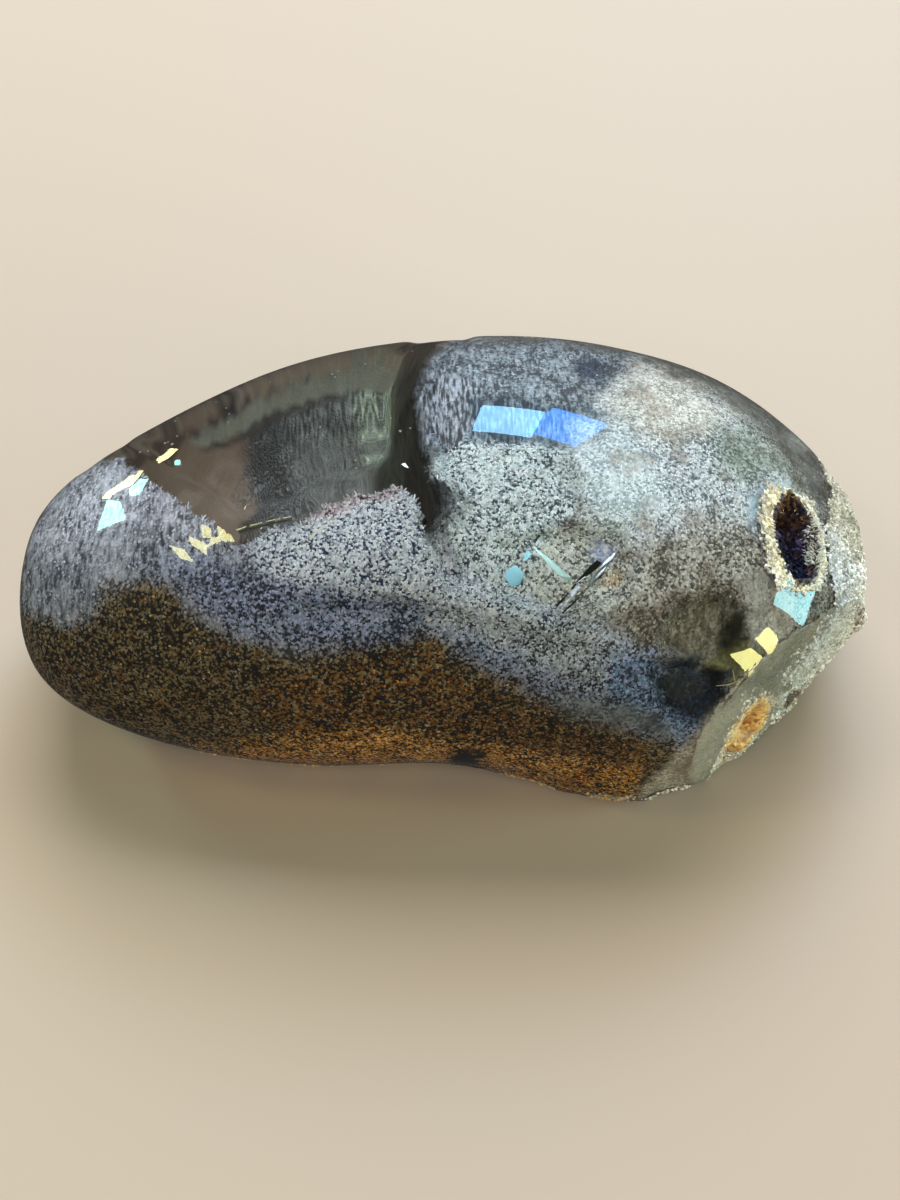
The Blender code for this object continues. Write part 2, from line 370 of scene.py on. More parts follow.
# %% One welded copy
SAME_PLACE = 0.01 * MM
OPPOSITE = -0.9


def merged_copy(node):
    """A bmesh of a CAD node with its loose triangles merged into one skin."""
    bm = bmesh.new()
    bm.from_mesh(node.data)
    bmesh.ops.remove_doubles(bm, verts=bm.verts, dist=0.2 * SAME_PLACE)
    bm.normal_update()
    return bm


def touching(bm, tree):
    """The faces that lie on another solid's surface and face it."""
    found = []
    for face in bm.faces:
        _, normal, _, distance = tree.find_nearest(face.calc_center_median())
        if distance < SAME_PLACE and normal.dot(face.normal) < OPPOSITE:
            found.append(face)
    return found


def welded_stone():
    """The stone and its overgrowth as one bmesh, and the phantom's wall between them as a search tree."""
    stone, clear = merged_copy(stone_node), merged_copy(overgrowth_node)
    stone_tree, clear_tree = BVHTree.FromBMesh(stone), BVHTree.FromBMesh(clear)
    buried = touching(clear, stone_tree)
    wall = bmesh.new()
    for face in buried:
        wall.faces.new([wall.verts.new(v.co) for v in face.verts])
    bmesh.ops.delete(stone, geom=touching(stone, clear_tree), context="FACES")
    bmesh.ops.delete(clear, geom=buried, context="FACES")
    rest = mesh_from(clear, "overgrowth_rest")
    stone.from_mesh(rest)
    bpy.data.meshes.remove(rest)
    bmesh.ops.remove_doubles(stone, verts=stone.verts, dist=SAME_PLACE)
    rims = {v for e in stone.edges if e.is_boundary for v in e.verts}
    bmesh.ops.remove_doubles(stone, verts=list(rims), dist=5 * SAME_PLACE)
    bmesh.ops.holes_fill(stone, edges=[e for e in stone.edges if e.is_boundary])
    print("open edges in the welded stone:", sum(e.is_boundary for e in stone.edges))
    return stone, BVHTree.FromBMesh(wall)


# %% [markdown]
# The welded skin's triangles are joined to quads, and two levels of subdivision round it between the
# creases of the chips. The ground bevel's own edges get a weak crease, because the polishing drum rolled
# them over. Along the weld the small faces would show as ripples in the polish, so the skin is smoothed
# there.

# %% Clear skin
SHARP = np.radians(28)
QUAD_BEND = np.radians(14)
QUAD_SKEW = np.radians(60)
CREASE = 0.7
ROLLED_CREASE = 0.35
SKIN_LEVELS = 2
WELD_REACH = 3.5 * MM
WELD_SMOOTHING = 60
# The plane of the ground bevel in mm, and how near an edge has to be to lie on it
BEVEL_POINT = np.array((22.5, -20.5, 14.5))
BEVEL_FACING = np.array((0.65, -0.76, 0.02))
BEVEL_FACING /= np.linalg.norm(BEVEL_FACING)
BEVEL_NEAR = 0.3


def beyond_bevel(places):
    """How far each place, in metres, is out of the plane of the ground bevel, in millimetres."""
    return (places / MM - BEVEL_POINT) @ BEVEL_FACING


def smoothed(values, mesh, rounds):
    """Each vertex's values averaged with its neighbours' this many times."""
    edges = np.empty(len(mesh.edges) * 2, np.int32)
    mesh.edges.foreach_get("vertices", edges)
    a, b = edges.reshape(-1, 2).T
    share = 1 + np.bincount(a, minlength=len(values)) + np.bincount(b, minlength=len(values))
    even = values.reshape(len(values), -1).astype(float)
    for _ in range(rounds):
        total = even.copy()
        np.add.at(total, a, even[b])
        np.add.at(total, b, even[a])
        even = total / share[:, None]
    return even.reshape(values.shape)


def skin_cage(bm):
    """The welded stone as quads, with creases for the subdivision."""
    bmesh.ops.dissolve_degenerate(bm, edges=bm.edges, dist=SAME_PLACE)
    bmesh.ops.join_triangles(
        bm, faces=bm.faces, angle_face_threshold=QUAD_BEND, angle_shape_threshold=QUAD_SKEW
    )
    crease = bm.edges.layers.float.new("crease_edge")
    for edge in bm.edges:
        middle = np.array((edge.verts[0].co + edge.verts[1].co) / 2)
        on_bevel = abs(beyond_bevel(middle)) < BEVEL_NEAR
        if len(edge.link_faces) == 2 and edge.calc_face_angle() > SHARP:
            edge[crease] = ROLLED_CREASE if on_bevel else CREASE
    return mesh_from(bm, "skin_cage")


def make_skin():
    """The clear skin as an object, smoothed along the weld."""
    bm, wall = welded_stone()
    cage = new_object("skin_cage", skin_cage(bm))
    finer = cage.modifiers.new("finer", "SUBSURF")
    finer.levels = finer.render_levels = SKIN_LEVELS
    skin = new_object("quartz_skin", evaluated_mesh(cage, "quartz_skin"))
    places = read(skin.data.vertices, "co")
    distance = np.array([wall.find_nearest(Vector(p))[3] for p in places])
    share = 1 - smooth_step(0.5, 1.0, distance / WELD_REACH)
    places += share[:, None] * (smoothed(places, skin.data, WELD_SMOOTHING) - places)
    write_places(skin.data, places)
    skin.data.shade_smooth()
    print("quartz_skin faces:", len(skin.data.polygons), "smoothed at the weld:", (share > 0).sum())
    return skin


skin = make_skin()

# %% [markdown]
# Clear quartz is a Principled shader with full transmission, quartz's own index of refraction, and a
# little absorption for its smoky tint. Where it was ground and not polished, the same glass is rough,
# with scratches. The rough end, the chips and the hollow's rim are opaque mineral: each of these is a
# granular coat made by one function from its own colours.

# %% Clear and ground quartz
QUARTZ_IOR = 1.544
QUARTZ_TINT = (0.90, 0.84, 0.72, 1)
QUARTZ_DENSITY = 14.0
SCRATCH_TURN = (0, np.radians(-8), np.radians(40))
SCRATCH_SCALE = (180, 5200, 5200)
SCRATCH_DEPTH = 0.5 * MM
# A ground face is rough in patches, and scatters some light as fine dust does
GROUND_PATCHES = 700.0
GROUND_SPREAD = (0.38, 0.62)
GROUND_ROUGHNESS = (0.12, 0.40)
GROUND_CLEARNESS = 0.75
GROUND_DUST = (0.97, 0.94, 0.86, 1)


def quartz(name, roughness, clearness=1.0, colour=(1, 1, 1, 1)):
    """Clear quartz with this roughness, and its tint in the volume."""
    material, tree, shader = principled(
        name, Base_Color=colour, Roughness=roughness, IOR=QUARTZ_IOR, Transmission_Weight=clearness
    )
    tint = add_node(tree, "ShaderNodeVolumeAbsorption", {"Color": QUARTZ_TINT, "Density": QUARTZ_DENSITY})
    tree.links.new(tint.outputs[0], tree.nodes["Material Output"].inputs["Volume"])
    return material, tree, shader


def ground_quartz():
    """Rough quartz with the parallel scratches of a grinding wheel, glossier in patches."""
    material, tree, shader = quartz("ground_quartz", 0.3, GROUND_CLEARNESS, GROUND_DUST)
    place = add_node(tree, "ShaderNodeTexCoord").outputs["Object"]
    inputs = {"Vector": place, "Rotation": SCRATCH_TURN, "Scale": SCRATCH_SCALE}
    turned = add_node(tree, "ShaderNodeMapping", inputs).outputs[0]
    give_bump(tree, shader, noise_at(tree, turned, 1.0, 4.0), SCRATCH_DEPTH, 1.0)
    low, high = GROUND_ROUGHNESS
    patches = noise_at(tree, place, GROUND_PATCHES, 5.0)
    tree.links.new(ramp(tree, patches, *GROUND_SPREAD, To_Min=low, To_Max=high), shader.inputs["Roughness"])
    return material


# %% [markdown]
# Mineral dust is bright and dark from grain to grain, from cluster to cluster and from cloud to cloud. A
# texture of cells gives each grain a chance of its own, and two noises give the clusters and the clouds.

# %% Mineral grains in a shader
# How far brightness varies with the grain itself, with its cluster and with its cloud
GRAIN_ALONE = 0.76
GRAIN_TOGETHER = 0.8
GRAIN_CLOUDY = 0.9
# The scales of clusters, clouds and patches against the grains' own
CLUSTER_SCALE = 0.32
CLOUD_SCALE = 0.07
PATCH_SCALE = 0.13
PATCH_SPREAD = (0.48, 0.62)
PATCH_SHARE = 0.7
GRANULAR_RELIEF = 0.12 * MM


def centred(tree, value, height):
    """The value, 0 to 1, made as high as this and centred on 0."""
    return calculate(tree, "MULTIPLY_ADD", value, height, -height / 2)


def grain_level(tree, place, size, contrast=1.0):
    """How bright each grain is, about 0 to 1, by itself, with its cluster and its cloud. size is in mm."""
    scale = 1 / (size * MM)
    cells = add_node(tree, "ShaderNodeTexVoronoi", {"Vector": place, "Scale": scale})
    chance = add_node(tree, "ShaderNodeSeparateColor", {0: cells.outputs["Color"]}).outputs
    alone = centred(tree, chance[0], GRAIN_ALONE)
    together = centred(tree, noise_at(tree, place, CLUSTER_SCALE * scale, 3.0), GRAIN_TOGETHER)
    fine = calculate(tree, "MULTIPLY", calculate(tree, "ADD", alone, together), contrast)
    clouds = noise_at(tree, place, CLOUD_SCALE * scale, 5.0)
    cloudy = calculate(tree, "MULTIPLY_ADD", clouds, GRAIN_CLOUDY, 0.5 - GRAIN_CLOUDY / 2)
    return calculate(tree, "ADD", fine, cloudy), chance, cells.outputs["Distance"]


def granular(name, dark, light, grain, cover, third, tone=None):
    """An opaque coat of mineral grains: light grains of this size in mm over a dark ground.

    A third colour lies over it in patches. All colours are multiplied by the vertex colour called tone, if
    one is named.
    """
    material, tree, shader = principled(name, Roughness=0.5)
    place = add_node(tree, "ShaderNodeTexCoord").outputs["Object"]
    level, chance, distance = grain_level(tree, place, grain)
    above = calculate(tree, "ADD", level, cover - 1)
    colour = blend_colour(tree, ramp(tree, above, -0.25, 0.25), (*dark, 1), (*light, 1))
    if third:
        patches = noise_at(tree, place, PATCH_SCALE / (grain * MM), 4.0)
        share = calculate(tree, "MULTIPLY", ramp(tree, patches, *PATCH_SPREAD), PATCH_SHARE)
        colour = blend_colour(tree, share, colour, (*third, 1))
    if tone:
        colour = blend_colour(tree, 1.0, colour, stored(tree, tone)["Color"], "MULTIPLY")
    shaded = varied(tree, colour, value=calculate(tree, "MULTIPLY_ADD", chance[1], 0.6, 0.7))
    tree.links.new(shaded, shader.inputs["Base Color"])
    give_bump(tree, shader, calculate(tree, "SUBTRACT", level, distance), GRANULAR_RELIEF, 0.9)
    return material


# %% [markdown]
# The polish ends where the photograph shows rough mineral: the right-hand end beyond the glassy ridge,
# the rim of the open hollow, and the chips. Each face of the skin gets the material of its zone. Beside
# the ridge the skin also sinks a little into uneven crust, since nothing rough stands above a polished
# face.

# %% Where the skin isn't polished
FRAME_PER_MM = 11
# The rough end: an outline in the frame for what the photograph shows, and a line in mm for what it hides
ROUGH_END = (
    (840, 470), (830, 500), (826, 524), (828, 560), (836, 590), (832, 616), (822, 636), (806, 658),
    (790, 684), (778, 702), (780, 722), (740, 770), (900, 800), (960, 470),
)
ROUGH_FROM = 34.6
# How the crust sinks, in mm: a little everywhere, and more by coarse and by fine lumps
CRUST_SINK = 0.16
COARSE_SINK = 0.12
FINE_SINK = 0.07
# The open hollow in mm: its middle, its directions and its reach along them
HOLLOW_MIDDLE = np.array((30.2, -6.3, 21.0))
HOLLOW_ACROSS = np.array((0.864, 0.108, -0.493))
HOLLOW_ALONG = np.array((0.0, 0.977, 0.215))
HOLLOW_FACING = np.array((0.504, -0.186, 0.843))
HOLLOW_REACH = np.array((2.4, 3.9, 3.6))


def in_hollow(places):
    """Each place in the hollow's own directions, as a share of its reach, in one row of three."""
    axes = np.array((HOLLOW_ACROSS, HOLLOW_ALONG, HOLLOW_FACING))
    return (places / MM - HOLLOW_MIDDLE) @ axes.T / HOLLOW_REACH


def roughness_of_end(places):
    """How far each place lies in the rough end, in mm of the stone. Outside is negative."""
    ragged = 0.35 * lumps(places, 0.9 * MM, seed=11) + 0.5 * lumps(places, 3.0 * MM, seed=12)
    shown = signed_distance(ROUGH_END, in_frame(places)) / FRAME_PER_MM
    hidden = places[:, 0] / MM - ROUGH_FROM
    return np.maximum(shown, np.minimum(hidden, 3)) + ragged


def sink_rough_end(mesh):
    """Sinks the rough end into uneven crust, but leaves the foot and the hollow's rim."""
    places = read(mesh.vertices, "co")
    deep = smooth_step(0.0, 0.6, roughness_of_end(places)) * (places[:, 2] > 0.4 * MM)
    coarse = COARSE_SINK * (1 + lumps(places, 1.1 * MM, seed=13))
    uneven = CRUST_SINK + coarse + FINE_SINK * (1 + lumps(places, 0.5 * MM, seed=14))
    clear_of_hollow = smooth_step(1.3, 1.9, np.linalg.norm(in_hollow(places), axis=1))
    sink = deep * uneven * clear_of_hollow * MM
    write_places(mesh, places - read(mesh.vertices, "normal") * sink[:, None])
    mesh.update()
    print("vertices in the rough end:", (deep > 0).sum())


sink_rough_end(skin.data)

# %% Zones of the skin
# Chips, as their middle and reach in millimetres
LIMONITE_CHIPS = (((27.1, -17.0, 6.7), (3.4, 2.6, 4.2)), ((-21.0, -17.9, 2.2), (2.6, 1.3, 1.3)))
FLAKED_CHIPS = (
    ((26.2, -18.8, 2.8), (2.7, 2.4, 3.9)), ((31.4, -12.2, 4.4), (2.0, 1.7, 2.3)),
    ((14.2, -21.9, 1.0), (2.9, 1.1, 1.8)), ((20.2, -20.9, 1.4), (2.3, 1.2, 1.9)),
    ((6.8, -19.6, 1.0), (3.6, 1.2, 1.8)), ((-12.5, -18.0, 1.2), (3.5, 1.3, 1.5)),
    ((-3.8, -18.1, 0.9), (3.1, 1.2, 1.4)),
)
# The pit chip takes the hollow wall's near-black coat, which is painted shade.
PIT_CHIPS = (((1.6, -19.2, 3.2), (1.7, 1.6, 1.4)),)
FLAKY_RIM = 1.16  # how much further the flakes around a limonite chip reach
# How far down a face of the foot looks, and where the hollow's rim and wall end, as shares of its reach
FOOT_FACING = -0.9
RIM_RING = 1.20
WALL_RING = 1.12
ZONE_NAMES = ("polished", "ground", "crust", "limonite", "flaked", "hollow rim", "hollow wall")
POLISHED, GROUND, CRUST, LIMONITE, FLAKED, RIM_COAT, WALL_COAT = range(len(ZONE_NAMES))


def in_chip(places, chips):
    """True for each place inside one of these ellipsoids."""
    inside = np.zeros(len(places), bool)
    for middle, reach in chips:
        inside |= np.linalg.norm((places / MM - np.array(middle)) / np.array(reach), axis=1) < 1
    return inside


def name_skin_faces(mesh):
    """The zone of each face of the skin, which is also its material's place in the list."""
    middles = read(mesh.polygons, "center")
    facing = read(mesh.polygons, "normal")
    slot = np.full(len(middles), POLISHED)
    on_bevel = (beyond_bevel(middles) > -BEVEL_NEAR) & (facing @ BEVEL_FACING > 0.75)
    slot[(facing[:, 2] < FOOT_FACING) | on_bevel] = GROUND
    slot[(roughness_of_end(middles) > 0) & (facing[:, 2] > FOOT_FACING)] = CRUST
    hollow = in_hollow(middles)
    ring = np.linalg.norm(hollow, axis=1) + 0.10 * lumps(middles, 0.9 * MM, seed=15)
    wide = 0.42 * smooth_step(-0.3, -1.2, hollow[:, 0]) + 0.22 * smooth_step(0.3, 1.0, hollow[:, 0])
    slot[ring < RIM_RING + wide] = RIM_COAT
    slot[(ring < WALL_RING) & (hollow[:, 2] < -0.04)] = WALL_COAT
    around = [(middle, FLAKY_RIM * np.array(reach)) for middle, reach in LIMONITE_CHIPS]
    slot[in_chip(middles, FLAKED_CHIPS) | in_chip(middles, around)] = FLAKED
    slot[in_chip(middles, LIMONITE_CHIPS)] = LIMONITE
    slot[in_chip(middles, PIT_CHIPS)] = WALL_COAT
    mesh.polygons.foreach_set("material_index", slot.astype(np.int32))
    print("skin faces:", dict(zip(ZONE_NAMES, np.bincount(slot, minlength=len(ZONE_NAMES)).tolist())))
    return slot


skin_zone = name_skin_faces(skin.data)

# %% [markdown]
# The rough parts carry a colour at each vertex, called tone. The crust is pale, tanned higher up, golden
# at the lower front edge, and toned down where the light is strongest. The hollow goes from brown at its
# top over violet to near black, inside a cream rim, and its near black is painted shade.

# %% Tones of the rough skin
# The part of the crust in the strongest light, as an outline in the frame
LIGHT_CRUST = (
    (822, 524), (838, 540), (854, 566), (856, 604), (838, 640), (800, 690), (780, 712), (770, 700),
    (812, 630), (820, 580),
)
CRUST_TONE = np.array((0.98, 0.93, 0.88))
LIT_LOSS = np.array((0.38, 0.33, 0.25))
UPPER_LOSS = np.array((0.42, 0.45, 0.52))
GOLD_TONE = np.array((0.70, 0.44, 0.19))
PALE_TONE = np.array((0.86, 0.89, 0.88))
BROWN_TONE = np.array((0.36, 0.31, 0.22))
RIM_TONE = np.array((0.84, 0.74, 0.52))
RIM_CHANGE = np.array((-0.02, 0.06, 0.20))  # from the rim's left side to its right
# Painted shade: the near black deep in the hollow, to which brown and violet are added.
HOLLOW_SHADE = np.array((0.006, 0.010, 0.030))
HOLLOW_BROWN = np.array((0.13, 0.06, 0.0))
HOLLOW_VIOLET = np.array((0.045, 0.030, 0.060))


def as_column(values):
    """One number for each vertex, as a column that colours can be multiplied by."""
    return values[:, None]


def rough_tone(places, hollow, ring):
    """The colour of the rough skin at each vertex."""
    spots = in_frame(places)
    light = as_column(smooth_step(-14, 14, signed_distance(LIGHT_CRUST, spots)))
    tone = CRUST_TONE - light * LIT_LOSS
    tone *= 1 - as_column(smooth_step(590, 530, spots[:, 1])) * (1 - light) * UPPER_LOSS
    tone += as_column(smooth_step(650, 610, spots[:, 0])) * (GOLD_TONE - tone)
    pale = as_column(smooth_step(-0.1, 0.5, lumps(places, 1.5 * MM, seed=21)))
    brown = as_column(smooth_step(0.1, 0.6, lumps(places, 1.3 * MM, seed=22)))
    tone += 0.5 * light * pale * (PALE_TONE - tone)
    tone += 0.7 * brown * (1 - 0.25 * light) * (BROWN_TONE - tone)
    rim = RIM_TONE + as_column(smooth_step(-0.2, 0.6, hollow[:, 0])) * RIM_CHANGE
    tone += as_column(1 - smooth_step(1.30, 1.55, ring)) * (rim * (0.75 + 0.25 * pale) - tone)
    inside = as_column((ring < 1.15) & (hollow[:, 2] < 0.05))
    # Inside the hollow the tone is painted shade, near black, with brown towards its top and violet across
    # its middle.
    dark = HOLLOW_SHADE + as_column(smooth_step(0.15, 0.8, hollow[:, 1])) * HOLLOW_BROWN
    violet = as_column(1 - smooth_step(0.1, 0.45, np.abs(hollow[:, 1] - 0.15)))
    tone += inside * (dark + violet * HOLLOW_VIOLET + 0.02 * pale - tone)
    return tone


# %% Values of the rough skin
def mark_rough_skin(mesh):
    """Keeps the rough skin's colour, and where grains, points and needles stand on it, as vertex values."""
    places = read(mesh.vertices, "co")
    hollow = in_hollow(places)
    ring = np.linalg.norm(hollow, axis=1)
    corner_vertices = np.empty(len(mesh.loops), np.int32)
    mesh.loops.foreach_get("vertex_index", corner_vertices)
    corner_zone = np.repeat(skin_zone, [len(p.vertices) for p in mesh.polygons])
    store(mesh, "tone", rough_tone(places, hollow, ring))
    there = {}
    for name, zone in (("crust", CRUST), ("flakes", FLAKED), ("rim", RIM_COAT), ("cavity", WALL_COAT)):
        there[name] = np.zeros(len(places))
        there[name][corner_vertices[corner_zone == zone]] = 1
    near = there["cavity"] * (ring < 1.6)
    there["teeth"] = near * (hollow[:, 0] > 0.78) * (hollow[:, 2] > -0.35)
    there["cavity"] = near * (hollow[:, 2] < -0.12)
    there["rim"] *= smooth_step(-0.5, 0.2, lumps(places, 0.6 * MM, seed=23))
    for name, values in there.items():
        store(mesh, name, values)
        print(name, "vertices:", (values > 0).sum())


mark_rough_skin(skin.data)

# %% Materials of the skin
# Each granular coat: name, ground, grains, a grain's size in mm, share of grains, third colour, tone
COATS = (
    ("rough_crust", (0.35, 0.34, 0.30), (1.0, 1.0, 0.98), 0.30, 0.55, (0.70, 0.66, 0.55), "tone"),
    ("limonite", (0.50, 0.22, 0.06), (0.95, 0.62, 0.24), 0.30, 0.60, (0.95, 0.80, 0.55)),
    ("flaked_quartz", (0.20, 0.17, 0.12), (0.78, 0.75, 0.66), 0.32, 0.50, (0.42, 0.33, 0.20)),
    ("hollow_rim", (0.42, 0.31, 0.15), (0.90, 0.80, 0.55), 0.30, 0.60, (0.90, 0.86, 0.74)),
    # The hollow wall's near-black ground and dark grains are painted shade.
    ("shaded_hollow_wall", (0.015, 0.016, 0.03), (0.13, 0.075, 0.055), 0.35, 0.40, None),
)
skin.data.materials.append(quartz("clear_quartz", 0.0)[0])
skin.data.materials.append(ground_quartz())
for coat in COATS:
    skin.data.materials.append(granular(*coat))
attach(skin, "root")
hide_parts("quartz_stone", "clear_overgrowth")
print("materials of the skin:", [material.name for material in skin.data.materials])

# %% [markdown]
# ## Looking into the quartz
# A curved clear skin bends every line of sight, so a thing inside isn't where it seems to be. A ray cast
# finds where a line of sight meets the skin, and the law of refraction turns it there. With that a speck,
# a crack or a colour can be put exactly where the photograph shows it.

# %% Rays into the quartz
def tree_of(obj):
    """A search tree of an object's mesh."""
    mesh = obj.data
    return BVHTree.FromPolygons([v.co for v in mesh.vertices], [p.vertices for p in mesh.polygons])


skin_tree = tree_of(skin)


def into_quartz(column, row):
    """Where the line of sight through a place in the frame meets the skin, and its direction inside."""
    sight = line_of_sight(column, row)
    place, normal, _, _ = skin_tree.ray_cast(camera.location, sight)
    if place is None:
        return None
    across = sight - normal * sight.dot(normal)
    sideways = across / QUARTZ_IOR
    return place, sideways - normal * np.sqrt(1 - sideways.length_squared)


# %% [markdown]
# ## The phantom
# Under the polish lies the phantom: the coat of mineral dust on the older crystal. Over most of the stone
# it comes to within half a millimetre of the skin. At the upper left it drops away in steep faces, and
# one looks into a deep clear valley. It is made from the CAD stone, whose solid has that valley, remeshed
# finely and sunk a little under the polish. Smaller valleys are drawn in the frame and sink it further.

# %% Valleys of the phantom
ROUND_PATCH = (
    (434, 470), (445, 450), (470, 442), (530, 440), (568, 455), (584, 485), (576, 515), (556, 528),
    (540, 560), (520, 590), (480, 592), (456, 565), (440, 520),
)
NAVY_FOOT = ((652, 672), (690, 660), (728, 672), (728, 705), (700, 722), (668, 715))
CLEAR_END = (
    (664, 640), (680, 608), (706, 592), (738, 592), (742, 640), (736, 668), (708, 668), (684, 660),
)
STREAKY_TOP = (
    (412, 380), (440, 340), (600, 330), (640, 356), (616, 400), (596, 440), (560, 448), (470, 446),
    (436, 470), (410, 450),
)
RIM = (
    (380, 320), (500, 322), (640, 340), (740, 385), (800, 430), (850, 490), (842, 520), (818, 500),
    (780, 440), (720, 392), (640, 356), (560, 344), (440, 342), (400, 348),
)
CREASE_LINE = ((432, 480), (446, 520), (466, 572), (452, 592), (436, 560), (428, 520))
FRACTURE_PIT = ((495, 540), (540, 520), (625, 530), (632, 590), (560, 620), (500, 600))
RIDGE_FOOT = ((300, 604), (420, 604), (520, 632), (600, 655), (560, 668), (440, 640), (300, 625))
# Each valley: outline in the frame, depth in mm, and how wide its slope is in the frame
VALLEYS = (
    (CREASE_LINE, 2.4, 7),
    (ROUND_PATCH, 1.4, 8),
    (FRACTURE_PIT, 1.9, 10),
    (RIDGE_FOOT, 1.2, 14),
    (NAVY_FOOT, 2.4, 12),
    (CLEAR_END, 2.8, 12),
    (STREAKY_TOP, 2.0, 22),
    (RIM, 2.2, 12),
)


def valley_depth(places):
    """How much further the phantom is sunk at each place, in mm."""
    spots = in_frame(places)
    warp = 6 * lumps(places, 2 * MM, seed=4)
    depth = np.zeros(len(places))
    for outline, fall, slope in VALLEYS:
        depth = np.maximum(depth, fall * smooth_step(-slope, slope, signed_distance(outline, spots) + warp))
    return depth


# %% Phantom body
PHANTOM_VOXEL = 0.41 * MM
PHANTOM_INSET = 0.55 * MM
UNDER_POLISH = 0.3 * MM
FACE_RELIEF = 0.12
COARSE_TUFTS = 0.8
FINE_TUFTS = 0.4


def remeshed_stone():
    """The CAD stone as an object of small even faces."""
    cage = new_object("phantom_cage", mesh_from(merged_copy(stone_node), "phantom_cage"))
    even = cage.modifiers.new("even", "REMESH")
    even.mode = "VOXEL"
    even.voxel_size = PHANTOM_VOXEL
    return new_object("phantom", evaluated_mesh(cage, "phantom"))


def keep_under_polish(places):
    """Moves each place that is too near the polish, or out of it, back under it."""
    for i, place in enumerate(places):
        foot, normal, _, _ = skin_tree.find_nearest(Vector(place))
        above = (Vector(place) - foot).dot(normal) + UNDER_POLISH
        if above > 0:
            places[i] -= above * np.array(normal)


def make_phantom():
    """The phantom, its places before and after it is sunk, and how near the polish each is, 0 to 1."""
    phantom = remeshed_stone()
    mesh = phantom.data
    places = read(mesh.vertices, "co")
    normals = smoothed(read(mesh.vertices, "normal"), mesh, 6)
    normals /= np.linalg.norm(normals, axis=1)[:, None]
    below = np.array([skin_tree.find_nearest(Vector(p))[3] for p in places]) / MM
    outer = 1 - smooth_step(0.3, 1.0, below)
    depth = valley_depth(places)
    uneven = 1 + 0.35 * lumps(places, 3 * MM, seed=1)
    relief = FACE_RELIEF * (1 - outer) * lumps(places, 1.6 * MM, seed=2)
    around = smoothed(1 - outer, mesh, 5)
    crest = smooth_step(0.02, 0.2, around) * (1 - smooth_step(0.6, 0.95, around))
    inset = PHANTOM_INSET / MM * uneven * (1 - 0.5 * crest)
    sunk = places - normals * ((inset + depth) * outer + relief)[:, None] * MM
    for axis in (0, 1):
        coarse = COARSE_TUFTS * lumps(places, 1.6 * MM, seed=7 + axis)
        tufts = coarse + FINE_TUFTS * lumps(places, 0.6 * MM, seed=9 + axis)
        sunk[:, axis] += crest * tufts * MM
    keep_under_polish(sunk)
    write_places(mesh, sunk)
    mesh.shade_smooth()
    mesh.update()
    print("phantom faces:", len(mesh.polygons))
    return phantom, places, sunk, outer


phantom, over_phantom, phantom_places, near_polish = make_phantom()
phantom_tree = tree_of(phantom)

# %% [markdown]
# Each vertex of the phantom has to know where the camera sees it. A grid of lines of sight is sent in,
# each is bent at the skin, and where it lands on the phantom is kept with its place in the frame. A
# vertex takes the place of the landings beside it.

# %% Where the camera sees the phantom
SIGHT_GRID = 4
SIGHT_COLUMNS = (8, FRAME_SIZE[0] - 8)
SIGHT_ROWS = (320, 820)
LANDING_REACH = 1.0 * MM
LANDINGS = 3


def landings_in_quartz():
    """Where each line of sight of the grid lands on the phantom, and its place in the frame."""
    landings, grid = [], []
    for column in range(*SIGHT_COLUMNS, SIGHT_GRID):
        for row in range(*SIGHT_ROWS, SIGHT_GRID):
            bent = into_quartz(column, row)
            landing = bent and phantom_tree.ray_cast(bent[0] + bent[1] * 0.05 * MM, bent[1])[0]
            if landing:
                landings.append(landing)
                grid.append((column, row))
    print("lines of sight that land on the phantom:", len(grid))
    return landings, np.array(grid, float)


def seen_places():
    """The (column, row) at which the camera sees each vertex of the phantom, and whether it does."""
    landings, grid = landings_in_quartz()
    near = KDTree(len(landings))
    for i, landing in enumerate(landings):
        near.insert(landing, i)
    near.balance()
    spots = in_frame(over_phantom)
    is_seen = np.zeros(len(spots), bool)
    for i, place in enumerate(phantom_places):
        found = near.find_n(Vector(place), LANDINGS)
        if found[0][2] < LANDING_REACH:
            is_seen[i] = True
            weights = np.array([1 / (distance + 0.02 * MM) for _, _, distance in found])
            spots[i] = weights @ grid[[index for _, index, _ in found]] / weights.sum()
    print("vertices that the camera sees:", is_seen.sum())
    return spots, is_seen


seen, is_seen = seen_places()

# %% [markdown]
# Each zone of the phantom has a dark ground and light grains on it. The vertices carry both colours, the
# share that the grains cover, how crisp they are, how far they are drawn out into streaks, and how
# thickly real grains stand on them. The outlines follow the photograph, and noise frays them. The first
# ones are of the long front: brown dust along the foot, and blue-grey ridges above it.

# %% Outlines at the left and along the front
BROWN_BAND = (
    (-90, 600), (22, 612), (60, 628), (90, 620), (106, 590), (134, 580), (168, 584), (184, 604),
    (204, 626), (240, 640), (280, 653), (320, 657), (361, 651), (400, 637), (430, 634), (456, 652),
    (480, 668), (510, 686), (560, 710), (620, 725), (668, 742), (690, 790), (690, 950), (-90, 950),
)
BROWN_MIDDLE = (
    (330, 662), (420, 650), (470, 680), (540, 710), (640, 745), (640, 775), (440, 742), (300, 735),
    (250, 690),
)
GOLD_FOOT = (
    (180, 752), (290, 738), (380, 728), (470, 742), (560, 752), (640, 765), (640, 860), (180, 860),
)
CENTRAL_RIDGE = (
    (245, 552), (290, 518), (345, 493), (390, 480), (425, 500), (455, 560), (500, 590), (520, 620),
    (440, 606), (350, 592), (270, 580),
)
CREST_FRINGE = (
    (296, 520), (300, 500), (330, 492), (345, 470), (368, 466), (392, 468), (406, 488), (398, 500),
    (376, 499), (360, 505), (346, 514), (330, 520), (312, 519),
)
MOUND_CREST = (
    (108, 448), (117, 470), (146, 464), (160, 470), (170, 492), (196, 500), (228, 512), (246, 548),
    (200, 545), (150, 520), (110, 520), (60, 560), (40, 540),
)
MOUND_SHADE = (
    (140, 566), (180, 548), (250, 560), (330, 580), (340, 602), (250, 612), (190, 596), (150, 584),
)
